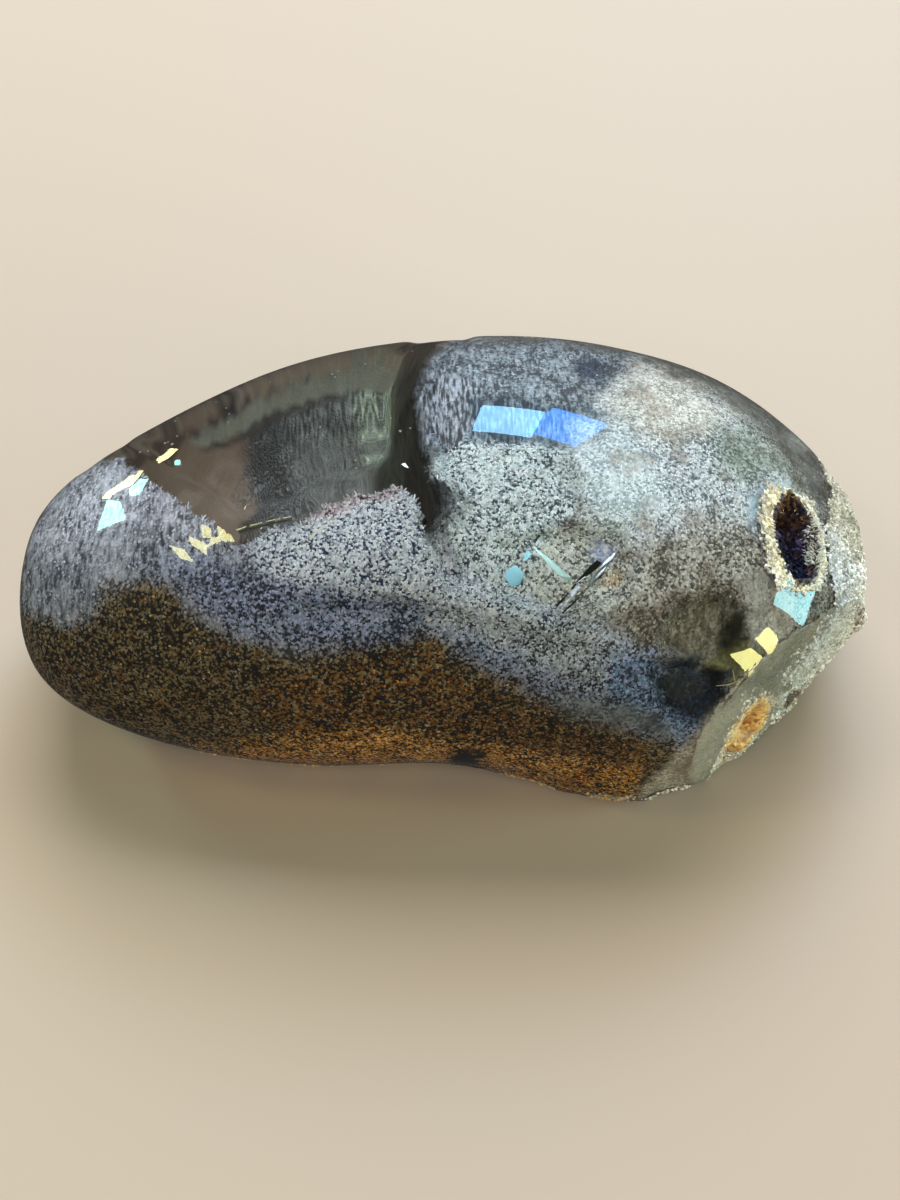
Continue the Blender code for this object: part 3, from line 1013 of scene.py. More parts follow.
SLOPE = (
    (225, 575), (350, 588), (440, 602), (520, 605), (620, 640), (680, 665), (725, 690), (690, 745),
    (650, 748), (560, 718), (500, 688), (460, 668), (420, 650), (360, 657), (300, 650), (235, 640),
    (190, 600),
)
SLOPE_BRIGHT = (
    (440, 600), (520, 600), (600, 632), (650, 660), (660, 700), (600, 690), (540, 664), (480, 640),
    (430, 622),
)
LOW_MIST = ((552, 700), (600, 702), (650, 712), (668, 732), (620, 728), (570, 714))
COLD_SLOPE = ((600, 655), (650, 650), (700, 680), (700, 735), (650, 738), (610, 705))
# Painted shade: the pit at the front foot, near black.
PIT = ((450, 754), (460, 747), (476, 748), (486, 756), (478, 765), (460, 764))
# Painted highlight: a smooth light brown band along the outer rim at the upper left.
PAINTED_OUTER_HIGHLIGHT = (
    (52, 478), (90, 440), (150, 394), (230, 358), (330, 332), (440, 318), (450, 344), (330, 364),
    (236, 390), (150, 428), (110, 456),
)

# %% [markdown]
# The right half is pale and cloudy at the top, with bright fractures in its middle, and turns to grey
# crystals and olive glass towards the bevel.

# %% Outlines in the right half
RIGHT_BASE = (
    (560, 300), (900, 300), (900, 800), (640, 800), (640, 640), (590, 600), (540, 560), (560, 500),
)
RIGHT_END = (
    (786, 420), (815, 470), (835, 520), (835, 600), (800, 650), (900, 760), (960, 600), (900, 430),
)
CREAM_AREA = (
    (600, 398), (640, 366), (700, 390), (750, 425), (788, 470), (786, 510), (760, 548), (715, 556),
    (660, 582), (618, 604), (572, 560), (580, 515), (586, 485), (570, 455),
)
CREAM_TOP = ((600, 400), (636, 362), (690, 378), (735, 412), (700, 440), (650, 440), (612, 430))
WHITE_STREAKS = ((412, 384), (440, 372), (478, 380), (478, 440), (440, 450), (414, 440))
UNDER_BLUE = ((470, 400), (540, 402), (606, 412), (598, 454), (540, 442), (470, 438))
DARK_SPOT = ((572, 362), (596, 360), (614, 370), (604, 384), (582, 380))
GREENISH = ((716, 430), (748, 424), (786, 466), (770, 480), (740, 486), (716, 462))
BLUE_MIST = ((752, 494), (776, 482), (792, 496), (780, 522), (762, 534), (748, 516))
PALE_MIST = (
    (575, 420), (620, 420), (655, 460), (665, 500), (640, 530), (610, 535), (588, 510), (572, 460),
)
FRACTURES = (
    (500, 548), (535, 536), (585, 520), (630, 540), (640, 590), (590, 625), (540, 610), (500, 600),
)
BLUE_CLOUD = ((489, 600), (494, 586), (508, 584), (516, 592), (508, 604), (496, 608))
VIOLET_CLOUD = ((588, 550), (592, 539), (602, 535), (613, 540), (615, 552), (608, 560), (598, 562))
ORANGE_SPOT = ((602, 588), (606, 576), (616, 571), (626, 574), (624, 584), (612, 592))
GREY_CRYSTALS = (
    (612, 604), (640, 560), (680, 530), (740, 520), (778, 545), (790, 580), (788, 630), (740, 672),
    (690, 668), (640, 648),
)
PALE_END = (
    (738, 590), (744, 570), (762, 566), (788, 588), (792, 620), (776, 655), (752, 652), (744, 634),
)
GREEN_WEDGE = ((712, 652), (726, 626), (738, 592), (742, 618), (747, 650), (730, 656))
GLOW = ((698, 664), (716, 650), (730, 650), (746, 646), (764, 654), (748, 672), (726, 678), (710, 674))
DARK_STRIP = (
    (740, 692), (748, 678), (770, 668), (786, 656), (800, 628), (808, 632), (794, 668), (774, 690),
    (752, 702),
)
OLIVE_GLASS = ((772, 692), (792, 668), (804, 646), (812, 654), (794, 690), (776, 708))
BEVEL_GREY = (
    (760, 662), (735, 690), (684, 752), (636, 790), (650, 830), (760, 800), (820, 700), (800, 650),
)

# %% [markdown]
# The zones are laid over each other in this order, like coats of paint. What the photograph doesn't show
# is a guess: the same pale grains at the back, with a brown foot.

# %% Zones of the phantom
# Each zone: outline, ground, grains, share of grains, crispness, streak, soft border, standing grains
ZONES = (
    (RIGHT_BASE, (0.11, 0.105, 0.085), (0.62, 0.60, 0.53), 0.50, 1.1, 0.1, 16, 0.35),
    (STREAKY_TOP, (0.075, 0.085, 0.10), (0.50, 0.56, 0.62), 0.46, 1.2, 0.55, 12, 0.15),
    (WHITE_STREAKS, (0.06, 0.065, 0.08), (0.60, 0.63, 0.72), 0.46, 1.2, 1.0, 8, 0.0),
    (DARK_SPOT, (0.015, 0.025, 0.05), (0.12, 0.16, 0.22), 0.40, 1.0, 0.5, 6, 0.0),
    (CREAM_AREA, (0.13, 0.155, 0.18), (0.97, 0.99, 1.0), 0.56, 1.4, 0.15, 12, 0.70),
    (CREAM_TOP, (0.34, 0.32, 0.27), (0.98, 0.95, 0.88), 0.60, 1.1, 0.2, 14, 0.70),
    (GREENISH, (0.15, 0.17, 0.14), (0.60, 0.66, 0.58), 0.52, 0.9, 0.0, 12, 0.40),
    (GREY_CRYSTALS, (0.10, 0.085, 0.06), (0.72, 0.67, 0.60), 0.47, 1.25, 0.1, 16, 0.45),
    (FRACTURES, (0.13, 0.12, 0.10), (0.96, 0.98, 0.92), 0.54, 1.3, 0.0, 12, 0.6),
    (BLUE_CLOUD, (0.30, 0.42, 0.50), (0.88, 0.97, 1.0), 0.58, 0.9, 0.0, 7, 0.3),
    (VIOLET_CLOUD, (0.30, 0.36, 0.66), (0.78, 0.82, 1.0), 0.55, 0.9, 0.0, 6, 0.2),
    (ORANGE_SPOT, (0.50, 0.26, 0.12), (1.0, 0.86, 0.62), 0.58, 1.3, 0.0, 5, 0.6),
    (CLEAR_END, (0.10, 0.085, 0.055), (0.44, 0.39, 0.30), 0.48, 0.9, 0.5, 12, 0.05),
    (PALE_END, (0.17, 0.15, 0.12), (0.62, 0.57, 0.50), 0.50, 0.7, 0.3, 5, 0.05),
    (GREEN_WEDGE, (0.028, 0.026, 0.010), (0.075, 0.07, 0.032), 0.40, 0.4, 0.6, 3, 0.0),
    (GLOW, (0.15, 0.14, 0.045), (0.36, 0.34, 0.14), 0.50, 0.5, 0.4, 5, 0.0),
    (ROUND_PATCH, (0.05, 0.07, 0.085), (0.92, 0.99, 1.0), 0.61, 1.6, 0.0, 5, 1.0),
    (UNDER_BLUE, (0.02, 0.035, 0.055), (0.30, 0.42, 0.52), 0.42, 1.0, 0.9, 5, 0.0),
    (MOUND_SHADE, (0.035, 0.04, 0.07), (0.44, 0.47, 0.60), 0.48, 1.2, 0.4, 16, 0.30),
    (SLOPE, (0.015, 0.02, 0.05), (0.50, 0.56, 0.78), 0.46, 1.4, 0.0, 12, 0.45),
    (SLOPE_BRIGHT, (0.04, 0.045, 0.07), (0.84, 0.90, 0.98), 0.54, 1.4, 0.0, 16, 0.7),
    (MOUND_CREST, (0.085, 0.085, 0.11), (0.84, 0.84, 0.93), 0.52, 1.1, 0.68, 18, 0.3),
    (CENTRAL_RIDGE, (0.02, 0.03, 0.09), (0.90, 0.94, 1.0), 0.60, 1.7, 0.0, 8, 1.0),
    (CREST_FRINGE, (0.085, 0.05, 0.05), (0.84, 0.72, 0.76), 0.49, 1.5, 0.2, 5, 0.6),
    (COLD_SLOPE, (0.02, 0.03, 0.08), (0.40, 0.54, 0.86), 0.46, 1.3, 0.0, 12, 0.40),
    (NAVY_FOOT, (0.002, 0.005, 0.010), (0.05, 0.08, 0.14), 0.34, 1.0, 0.4, 8, 0.05),
    (RIM, (0.11, 0.10, 0.085), (0.27, 0.25, 0.215), 0.45, 0.6, 0.5, 7, 0.0),
    (PAINTED_OUTER_HIGHLIGHT, (0.20, 0.15, 0.10), (0.26, 0.20, 0.14), 0.5, 0.3, 0.4, 6, 0.0),
    (BROWN_BAND, (0.003, 0.0015, 0.0), (0.37, 0.265, 0.12), 0.29, 1.7, 0.0, 11, 0.40),
    (BROWN_MIDDLE, (0.001, 0.0, 0.0), (0.42, 0.225, 0.06), 0.27, 1.7, 0.0, 22, 0.35),
    (GOLD_FOOT, (0.025, 0.009, 0.001), (1.0, 0.56, 0.14), 0.43, 1.5, 0.0, 10, 0.6),
    (PIT, (0.002, 0.001, 0.001), (0.006, 0.004, 0.002), 0.4, 0.5, 0.0, 3, 0.0),
    (BEVEL_GREY, (0.48, 0.44, 0.34), (1.0, 0.97, 0.89), 0.54, 1.0, 0.0, 6, 0.2),
    (OLIVE_GLASS, (0.14, 0.11, 0.06), (0.34, 0.29, 0.18), 0.5, 0.6, 0.2, 5, 0.0),
    (DARK_STRIP, (0.03, 0.03, 0.012), (0.09, 0.09, 0.045), 0.45, 0.5, 0.3, 4, 0.0),
    (RIGHT_END, (0.18, 0.17, 0.12), (0.70, 0.68, 0.58), 0.50, 1.0, 0.0, 6, 0.0),
    (LOW_MIST, (0.10, 0.12, 0.13), (0.34, 0.38, 0.40), 0.50, 0.6, 0.0, 13, 0.10),
    (BLUE_MIST, (0.32, 0.42, 0.48), (0.60, 0.72, 0.78), 0.50, 0.5, 0.0, 10, 0.1),
    (PALE_MIST, (0.34, 0.42, 0.45), (0.95, 1.0, 1.0), 0.60, 1.0, 0.0, 20, 0.6),
)
# The same values without an outline, under all zones and at the back
LEFT_MOUND = ((0.065, 0.067, 0.09), (0.62, 0.63, 0.70), 0.49, 0.95, 0.68, 0.22)
BACK = ((0.065, 0.07, 0.085), (0.66, 0.69, 0.74), 0.50, 1.2, 0.2, 0.35)
BACK_FOOT = ((0.012, 0.008, 0.004), (0.42, 0.32, 0.19), 0.36, 1.4, 0.0, 0.40)
print("zones of the phantom:", len(ZONES))

# %% [markdown]
# The clear valley shows its own walls: a smooth brown face at the left, a dark one with pale streaks
# behind, green streaks beside a crease darkened with painted shade, and an olive band where the far edge
# lies like a lens under the polish. A painted highlight runs along the far edge, and painted shadows lie
# along the rim and under the olive band.

# %% Outlines in the clear valley
BROWN_FACE = ((100, 430), (200, 380), (243, 420), (246, 470), (248, 570), (200, 560), (100, 500))
STREAKY_FACE = ((285, 420), (300, 380), (400, 350), (400, 480), (300, 500))
GREEN_STREAKS = ((357, 350), (398, 345), (396, 420), (388, 450), (366, 445), (360, 400))
# Painted highlight: a light brown band along the far edge at the rim.
PAINTED_FAR_HIGHLIGHT = (
    (108, 440), (180, 385), (290, 350), (440, 325), (460, 340), (430, 352), (300, 376), (238, 400),
    (190, 420), (150, 444), (118, 462),
)
OLIVE_BAND = (
    (180, 446), (190, 436), (226, 415), (264, 396), (308, 379), (357, 364), (402, 362), (404, 382),
    (357, 389), (300, 402), (262, 417), (236, 434), (206, 447),
)
# Painted shadow: a dark band along the lower side of the olive band.
PAINTED_LENS_SHADOW = (
    (196, 452), (236, 438), (264, 420), (306, 402), (357, 390), (357, 393), (306, 407), (266, 426),
    (238, 444),
)
# Painted shadow: a dark brown band inside the light band of the rim, at the left.
PAINTED_RIM_SHADOW = (
    (113, 462), (150, 445), (190, 425), (226, 406), (257, 399), (235, 413), (206, 431), (165, 453),
    (138, 468), (116, 480),
)
DARK_NOTCH = ((218, 404), (240, 396), (258, 398), (240, 407), (222, 412))
BROWN_TOP = ((404, 335), (452, 330), (440, 352), (420, 372), (408, 380), (400, 356))
# Painted shade: the near-black wall of the crease beside the right-hand mound.
PAINTED_CREASE_SHADE = (
    (396, 378), (420, 366), (414, 400), (416, 440), (428, 480), (440, 540), (418, 500), (396, 488),
    (392, 440),
)
GREY_VEIL = ((300, 452), (404, 444), (396, 500), (300, 522))
BROWN_FOOT = ((236, 536), (256, 520), (262, 540), (246, 560))

# %% Zones of the clear valley
# The same values without standing grains. A streak of 1 is all streaks.
VALLEY_BASE = ((0.005, 0.006, 0.007), (0.042, 0.046, 0.05), 0.43, 0.8, 1.0)
BACK_VALLEY = ((0.10, 0.075, 0.05), (0.24, 0.19, 0.135), 0.5, 0.5, 0.8)
# Each zone: outline, ground, streaks, share of streaks, crispness, streak, softness of border
VALLEY_ZONES = (
    (BROWN_FACE, (0.175, 0.112, 0.066), (0.205, 0.138, 0.088), 0.5, 0.15, 0.8, 12),
    (STREAKY_FACE, (0.014, 0.018, 0.018), (0.22, 0.245, 0.235), 0.42, 0.75, 1.0, 14),
    (GREEN_STREAKS, (0.05, 0.07, 0.05), (0.48, 0.6, 0.46), 0.48, 0.8, 1.0, 9),
    (PAINTED_FAR_HIGHLIGHT, (0.22, 0.165, 0.11), (0.27, 0.21, 0.145), 0.5, 0.2, 0.4, 5),
    (OLIVE_BAND, (0.16, 0.165, 0.12), (0.24, 0.25, 0.19), 0.5, 0.3, 0.7, 4),
    (PAINTED_LENS_SHADOW, (0.03, 0.022, 0.014), (0.04, 0.03, 0.02), 0.5, 0.2, 0.5, 3),
    (PAINTED_RIM_SHADOW, (0.055, 0.028, 0.018), (0.075, 0.042, 0.028), 0.5, 0.2, 0.3, 4),
    (DARK_NOTCH, (0.012, 0.008, 0.006), (0.02, 0.016, 0.012), 0.5, 0.2, 0.0, 5),
    (BROWN_TOP, (0.055, 0.038, 0.026), (0.1, 0.075, 0.055), 0.45, 0.5, 0.6, 6),
    (PAINTED_CREASE_SHADE, (0.005, 0.006, 0.005), (0.035, 0.04, 0.033), 0.35, 0.8, 0.8, 5),
    (GREY_VEIL, (0.022, 0.025, 0.025), (0.15, 0.163, 0.155), 0.48, 0.35, 1.0, 14),
    (BROWN_FOOT, (0.03, 0.02, 0.012), (0.07, 0.05, 0.03), 0.4, 0.5, 0.4, 5),
)
print("zones of the clear valley:", len(VALLEY_ZONES))

# %% [markdown]
# At each vertex the zones' values are blended one after the other, over borders that noise frays. A
# painted image would need the stone unwrapped. The phantom's vertices lie 0.4 mm apart, which is fine
# enough for soft borders, and the grains themselves come from the material.

# %% Painting the phantom
VALUE_NAMES = ("ground", "grain", "cover", "crisp", "streak", "standing")
SHADE = 0.55
SHADE_COLOUR = np.array((0.62, 0.74, 0.84))
FOOT_CLEAR = 0.9 * MM


def layered(base, zones, warp):
    """The base values with each zone's laid over them inside its outline."""
    values = [np.tile(np.array(value, float), (len(seen), 1)) for value in base]
    for outline, *zone, soft in zones:
        mask = as_column(smooth_step(-soft, soft, signed_distance(outline, seen) + warp))
        for value, wanted in zip(values, zone):
            value += mask * (np.array(wanted, float) - value)
    return values


def add_clouds(covered):
    """Varies the share of grains in clouds, and shades the right half in patches."""
    cloud = 0.16 * lumps(over_phantom, 3.2 * MM, seed=31) + 0.10 * lumps(over_phantom, 1.2 * MM, seed=32)
    covered[2] += as_column(cloud)
    covered[5] *= as_column(over_phantom[:, 2] > FOOT_CLEAR)
    patches = smooth_step(0.0, 0.7, lumps(over_phantom, 2.2 * MM, seed=34))
    covered[1] *= 1 - as_column(SHADE * patches * smooth_step(550, 600, seen[:, 0])) * SHADE_COLOUR


def guess_hidden(covered, valley, mesh):
    """Blends what the camera doesn't see into the values for the back."""
    hidden = as_column(smooth_step(0.3, 0.9, smoothed(1.0 - is_seen, mesh, 10)))
    uneven = 1.5 * lumps(phantom_places, 5 * MM, seed=33)
    foot = as_column(smooth_step(9.0, 5.0, phantom_places[:, 2] / MM + uneven))
    for value, upper, lower in zip(covered, BACK, BACK_FOOT):
        value += hidden * (np.array(upper) + foot * (np.array(lower) - np.array(upper)) - value)
    for value, back in zip(valley, (*BACK_VALLEY, 0.0)):
        value += hidden * (np.array(back) - value)


def paint_phantom(mesh):
    """Keeps every zone's values on the vertices of the phantom."""
    warp = 7 * lumps(over_phantom, 2.5 * MM, seed=5) + 6 * lumps(over_phantom, 0.8 * MM, seed=6)
    zones = [(*zone, standing, soft) for *zone, soft, standing in ZONES]
    covered = layered(LEFT_MOUND, zones, warp)
    add_clouds(covered)
    bare_zones = [(*zone, 0.0, soft) for *zone, soft in VALLEY_ZONES]
    valley = layered((*VALLEY_BASE, 0.0), bare_zones, 0.3 * warp)
    guess_hidden(covered, valley, mesh)
    in_valley = as_column(1 - near_polish)
    for name, shallow, deep in zip(VALUE_NAMES, covered, valley):
        value = shallow + in_valley * (deep - shallow)
        store(mesh, name, value if value.shape[1] == 3 else value[:, 0])
    print("values on the phantom:", VALUE_NAMES)


paint_phantom(phantom.data)

# %% [markdown]
# The phantom's material reads those values. Where streak is 0 it shows single grains, and where it is 1
# it shows lines that run along the stone's Y and Z, as the streaks in the photograph do. Between the two
# it mixes them.

# %% Phantom coat
GRAIN = 0.20
# Short and long streaks: how much they are drawn out, how fine they are, and their contrast
STREAKS = ((0.30, 3.2, 2.6), (0.20, 4.2, 2.0))
COAT_RELIEF = 0.09 * MM


def streak_level(tree, place, streak, crisp):
    """How bright the streaks are, from short ones to long ones as the streak value rises."""
    lined = []
    for shrink, scale, contrast in STREAKS:
        inputs = {0: place, 1: (1 / MM, shrink / MM, shrink / MM)}
        drawn_out = add_node(tree, "ShaderNodeVectorMath", inputs, operation="MULTIPLY").outputs[0]
        lined.append(centred(tree, noise_at(tree, drawn_out, scale, 4.0), contrast))
    mixed = blend(tree, ramp(tree, streak, 0.6, 0.9), *lined)
    return calculate(tree, "MULTIPLY_ADD", mixed, crisp, 0.5)


def phantom_coat():
    """Mineral dust in the colours, thickness and pattern that the vertices carry."""
    material, tree, shader = principled("phantom_coat", Roughness=0.45)
    place = add_node(tree, "ShaderNodeTexCoord").outputs["Object"]
    cover, crisp, streak = (stored(tree, name)["Fac"] for name in ("cover", "crisp", "streak"))
    grains, chance, distance = grain_level(tree, place, GRAIN, crisp)
    level = blend(tree, streak, grains, streak_level(tree, place, streak, crisp))
    above = calculate(tree, "SUBTRACT", calculate(tree, "ADD", level, cover), 1.0)
    ground, grain = stored(tree, "ground")["Color"], stored(tree, "grain")["Color"]
    colour = blend_colour(tree, ramp(tree, above, -0.24, 0.24), ground, grain)
    uneven = calculate(tree, "MULTIPLY", calculate(tree, "SUBTRACT", chance[1], 0.5), crisp)
    hue, saturation, value = (
        calculate(tree, "MULTIPLY_ADD", uneven, share, middle)
        for share, middle in ((0.05, 0.5), (-0.6, 1.0), (0.45, 1.0))
    )
    tone = varied(tree, colour, hue=hue, saturation=saturation, value=value)
    tree.links.new(tone, shader.inputs["Base Color"])
    strength = add_node(tree, "ShaderNodeClamp", {0: calculate(tree, "MULTIPLY", crisp, 0.6)}).outputs[0]
    give_bump(tree, shader, calculate(tree, "SUBTRACT", level, distance), COAT_RELIEF, strength)
    return material


phantom.data.materials.append(phantom_coat())
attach(phantom, "root")
print("phantom's material:", phantom.data.materials[0].name)

# %% [markdown]
# ## Standing grains
# The phantom glitters, because its dust is really a lawn of tiny crystals. Geometry Nodes scatter small
# eight-sided grains over it, as thickly as each zone's value says. Each grain is turned its own way, so
# that light catches some and leaves others dark. The instances are realized, because an export drops
# them.

# %% Scatter tree
SCATTER_INPUTS = (
    ("Form", "Object"), ("Per Square Metre", "Float"), ("Smallest", "Float"), ("Largest", "Float"),
    ("Stand Up", "Float"), ("Seed", "Int"), ("Material", "Material"),
)
TUMBLE = 3.1


def scatter_interface(tree):
    """Gives the tree its named inputs and its output."""
    face = tree.interface
    face.new_socket("Geometry", in_out="INPUT", socket_type="NodeSocketGeometry")
    for socket, kind in SCATTER_INPUTS:
        face.new_socket(socket, in_out="INPUT", socket_type="NodeSocket" + kind)
    face.new_socket("Geometry", in_out="OUTPUT", socket_type="NodeSocketGeometry")


def scatter_tree(name, mask):
    """A tree that scatters a form over a mesh, as thickly as the vertex value called mask says."""
    tree = bpy.data.node_groups.new(name, "GeometryNodeTree")
    scatter_interface(tree)
    given = tree.nodes.new("NodeGroupInput").outputs
    kept = add_node(tree, "GeometryNodeInputNamedAttribute", {"Name": mask}, data_type="FLOAT").outputs[0]
    points = add_node(tree, "GeometryNodeDistributePointsOnFaces", {
        "Mesh": given["Geometry"], "Seed": given["Seed"],
        "Density": calculate(tree, "MULTIPLY", kept, given["Per Square Metre"]),
    })
    shade = add_node(tree, "FunctionNodeRandomValue", {"Seed": given["Seed"]}, data_type="FLOAT").outputs[1]
    shaded = add_node(tree, "GeometryNodeStoreNamedAttribute", {
        "Geometry": points.outputs["Points"], "Name": "shade", "Value": shade,
    }, data_type="FLOAT", domain="POINT")
    ends = {0: (-TUMBLE,) * 3, 1: (TUMBLE,) * 3}
    tumble = add_node(tree, "FunctionNodeRandomValue", ends, data_type="FLOAT_VECTOR").outputs[0]
    tumbled = add_node(tree, "FunctionNodeEulerToRotation", {0: tumble}).outputs[0]
    turned = add_node(tree, "ShaderNodeMix", {
        "Factor": given["Stand Up"], "A": tumbled, "B": points.outputs["Rotation"],
    }, data_type="ROTATION")
    sizes = {2: given["Smallest"], 3: given["Largest"]}
    placed = add_node(tree, "GeometryNodeInstanceOnPoints", {
        "Points": shaded.outputs[0],
        "Instance": add_node(tree, "GeometryNodeObjectInfo", {"Object": given["Form"]}).outputs["Geometry"],
        "Rotation": turned.outputs["Result"],
        "Scale": add_node(tree, "FunctionNodeRandomValue", sizes, data_type="FLOAT").outputs[1],
    })
    real = add_node(tree, "GeometryNodeRealizeInstances", {"Geometry": placed.outputs[0]})
    finish = {"Geometry": real.outputs[0], "Material": given["Material"]}
    finished = add_node(tree, "GeometryNodeSetMaterial", finish)
    tree.links.new(finished.outputs[0], tree.nodes.new("NodeGroupOutput").inputs[0])
    return tree


# %% [markdown]
# Dust grains are stubby crystals, and those on the crest and in the hollow are slender points, so two
# forms do for all of them. A form that is repeated tens of thousands of times has only a few faces.
# Random turns and sizes hide that the grains are alike, and each keeps a random shade for its material to
# read.

# %% Forms of the grains
def octahedron():
    """A slightly uneven eight-sided grain of about one unit."""
    corners = [(1, 0, 0.1), (-0.9, 0.1, 0), (0, 0.8, 0), (0.1, -1, 0), (0, 0, 1.25), (0, 0.1, -1)]
    sides = [(0, 2, 4), (2, 1, 4), (1, 3, 4), (3, 0, 4), (2, 0, 5), (1, 2, 5), (3, 1, 5), (0, 3, 5)]
    mesh = bpy.data.meshes.new("octahedron")
    mesh.from_pydata(corners, [], sides)
    return mesh


def quartz_point(width):
    """A six-sided pointed prism one unit long. Its foot reaches under the surface that it stands on."""
    bm = bmesh.new()
    ring = [(width * np.cos(a), width * np.sin(a)) for a in np.radians(range(0, 360, 60))]
    foot = [bm.verts.new((*xy, -0.3)) for xy in ring]
    shoulder = [bm.verts.new((*xy, 0.65)) for xy in ring]
    tip = bm.verts.new((0.15 * width, 0, 1.0))
    for i in range(6):
        bm.faces.new((foot[i - 1], foot[i], shoulder[i], shoulder[i - 1]))
        bm.faces.new((shoulder[i - 1], shoulder[i], tip))
    bm.faces.new(foot)
    bmesh.ops.recalc_face_normals(bm, faces=bm.faces)
    return mesh_from(bm, "quartz_point")


# %% Scatter
def sparkling(name, tone="grain", gloss=0.22, darkest=0.55, spread=0.75):
    """Grains in the colour of their zone, each with a brightness of its own."""
    material, tree, shader = principled(name, Roughness=gloss)
    value = calculate(tree, "MULTIPLY_ADD", stored(tree, "shade")["Fac"], spread, darkest)
    tree.links.new(varied(tree, stored(tree, tone)["Color"], value=value), shader.inputs["Base Color"])
    return material


def scatter(name, surface, mask, form, density, sizes, material, seed, upright=0.0):
    """One plain mesh of grains on a surface. density is per square millimetre, and sizes are in mm."""
    carrier = new_object(name + "_carrier", surface.data.copy())
    model = new_object(name + "_form", form)
    tree = scatter_tree(name + "_scatter", mask)
    modifier = carrier.modifiers.new("scatter", "NODES")
    modifier.node_group = tree
    values = {
        "Form": model, "Per Square Metre": density / MM**2, "Seed": seed, "Material": material,
        "Smallest": sizes[0] * MM, "Largest": sizes[1] * MM, "Stand Up": upright,
    }
    for item in tree.interface.items_tree:
        if item.name in values:
            modifier[item.identifier] = values[item.name]
    grains = new_object(name, evaluated_mesh(carrier, name))
    places = read(grains.data.vertices, "co")
    places[:, 2] = np.maximum(places[:, 2], 0)
    write_places(grains.data, places)
    bpy.data.objects.remove(model)
    bpy.data.node_groups.remove(tree)
    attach(grains, "root")
    print(name, "faces:", len(grains.data.polygons))
    return grains


def scatter_where(values, name, surface, *settings, **more):
    """Scatters a form as thickly as these values say, which the surface doesn't keep."""
    store(surface.data, name, values)
    scatter(name, surface, name, *settings, **more)
    surface.data.attributes.remove(surface.data.attributes[name])


# %% [markdown]
# The lawn of grains is made in three stretches along the stone, to keep each piece small. Warm zones get
# some golden grains besides, brightened beyond their zone's colour as painted glints, and bristles stand
# along the crest, where the phantom breaks off to the clear valley.

# %% Grains on the phantom
# Each stretch: name, where it starts and where it ends in mm
LAWNS = (
    ("grains_of_the_left", -45, -6.5),
    ("grains_of_the_middle", -6.5, 11),
    ("grains_of_the_right", 11, 45),
)
GRAINS_PER_MM2 = 12.0
GRAIN_SIZES = (0.07, 0.18)
grain_finish = sparkling("sparkling_grains")
standing = read(phantom.data.attributes["standing"].data, "value", 1)[:, 0]
along = phantom_places[:, 0] / MM
for seed, (name, start, end) in enumerate(LAWNS):
    there = standing * ((along >= start) & (along < end))
    scatter_where(there, name, phantom, octahedron(), GRAINS_PER_MM2, GRAIN_SIZES, grain_finish, seed)

# %% Golden grains with painted glints
GOLD_PER_MM2 = 1.6
GOLD_SIZES = (0.06, 0.18)
# Painted glints: each golden grain's brightness reaches up to three times its zone's colour.
glint_finish = sparkling("gold_grains", darkest=0.5, spread=2.6)
colours = read(phantom.data.attributes["grain"].data, "color", 4)
warmth = 1 - colours[:, 2] / np.maximum(colours[:, 0], 1e-3)
warm = smooth_step(0.35, 0.6, warmth) * standing
scatter_where(warm, "gold_grains", phantom, octahedron(), GOLD_PER_MM2, GOLD_SIZES, glint_finish, 9)

# %% Bristles along the crest
BRISTLES_PER_MM2 = 16.0
BRISTLE_SIZES = (0.2, 0.5)
TOP_OF_CREST = 436  # above this row of the frame the crest is smooth
edge = (near_polish > 0.5) & (smoothed(near_polish, phantom.data, 4) < 0.93)
crest = (edge & (seen[:, 1] > TOP_OF_CREST)).astype(float)
bristle = quartz_point(0.16)
scatter_where(
    crest, "crest_bristles", phantom, bristle, BRISTLES_PER_MM2, BRISTLE_SIZES, grain_finish, 7,
    upright=0.75,
)

# %% [markdown]
# ## Rough crust and the open hollow
# The same scatter roughens the unpolished end, the flakes and the hollow's rim. Inside the hollow stand
# small quartz points, darkened with the hollow's painted shade, which replace the CAD crust of crystals,
# and white needles fringe its right-hand wall.

# %% Crust, flakes and rim
# Each kind of grain: piece, vertex value, grains to a square mm, sizes in mm and seed
ROUGH_GRAINS = (
    ("crust_grains", "crust", 9.0, (0.09, 0.24), 11),
    ("flake_grains", "flakes", 5.0, (0.08, 0.20), 12),
    ("rim_grains", "rim", 24.0, (0.05, 0.26), 13),
)
crust_finish = sparkling("crust_grains", "tone", 0.45)
for name, mask, density, sizes, seed in ROUGH_GRAINS:
    scatter(name, skin, mask, octahedron(), density, sizes, crust_finish, seed)

# %% Needles and points in the hollow
NEEDLE_COLOUR = (0.80, 0.79, 0.70, 1)
needle_finish = principled("needle_teeth", Base_Color=NEEDLE_COLOUR, Roughness=0.3)[0]
scatter(
    "needle_teeth", skin, "teeth", quartz_point(0.06), 44.0, (0.25, 0.6), needle_finish, 15, upright=0.8
)
point_finish = sparkling("hollow_points", "tone", 0.08, darkest=0.3, spread=1.4)
points = scatter(
    "hollow_points", skin, "cavity", quartz_point(0.28), 8.0, (0.25, 0.62), point_finish, 14, upright=0.55
)
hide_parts("vug_crystals")

# %% [markdown]
# ## Cracks and specks
# Flat cracks inside the quartz mirror the light in flashes of cyan and mint beside black slivers. Each is
# a thin plate, drawn in the frame and carried to its depth along the bent line of sight. A crack is
# bright only because it mirrors a lamp, so the bright ones are metallic and tilted to mirror the broad
# softbox. The gold line along the valley's edge and a few pale and dark streaks are made in the same way.

# %% Plates inside the quartz
PLATE = 0.05 * MM
DEPTH_RANGE = (0.25 * MM, 2.2 * MM)
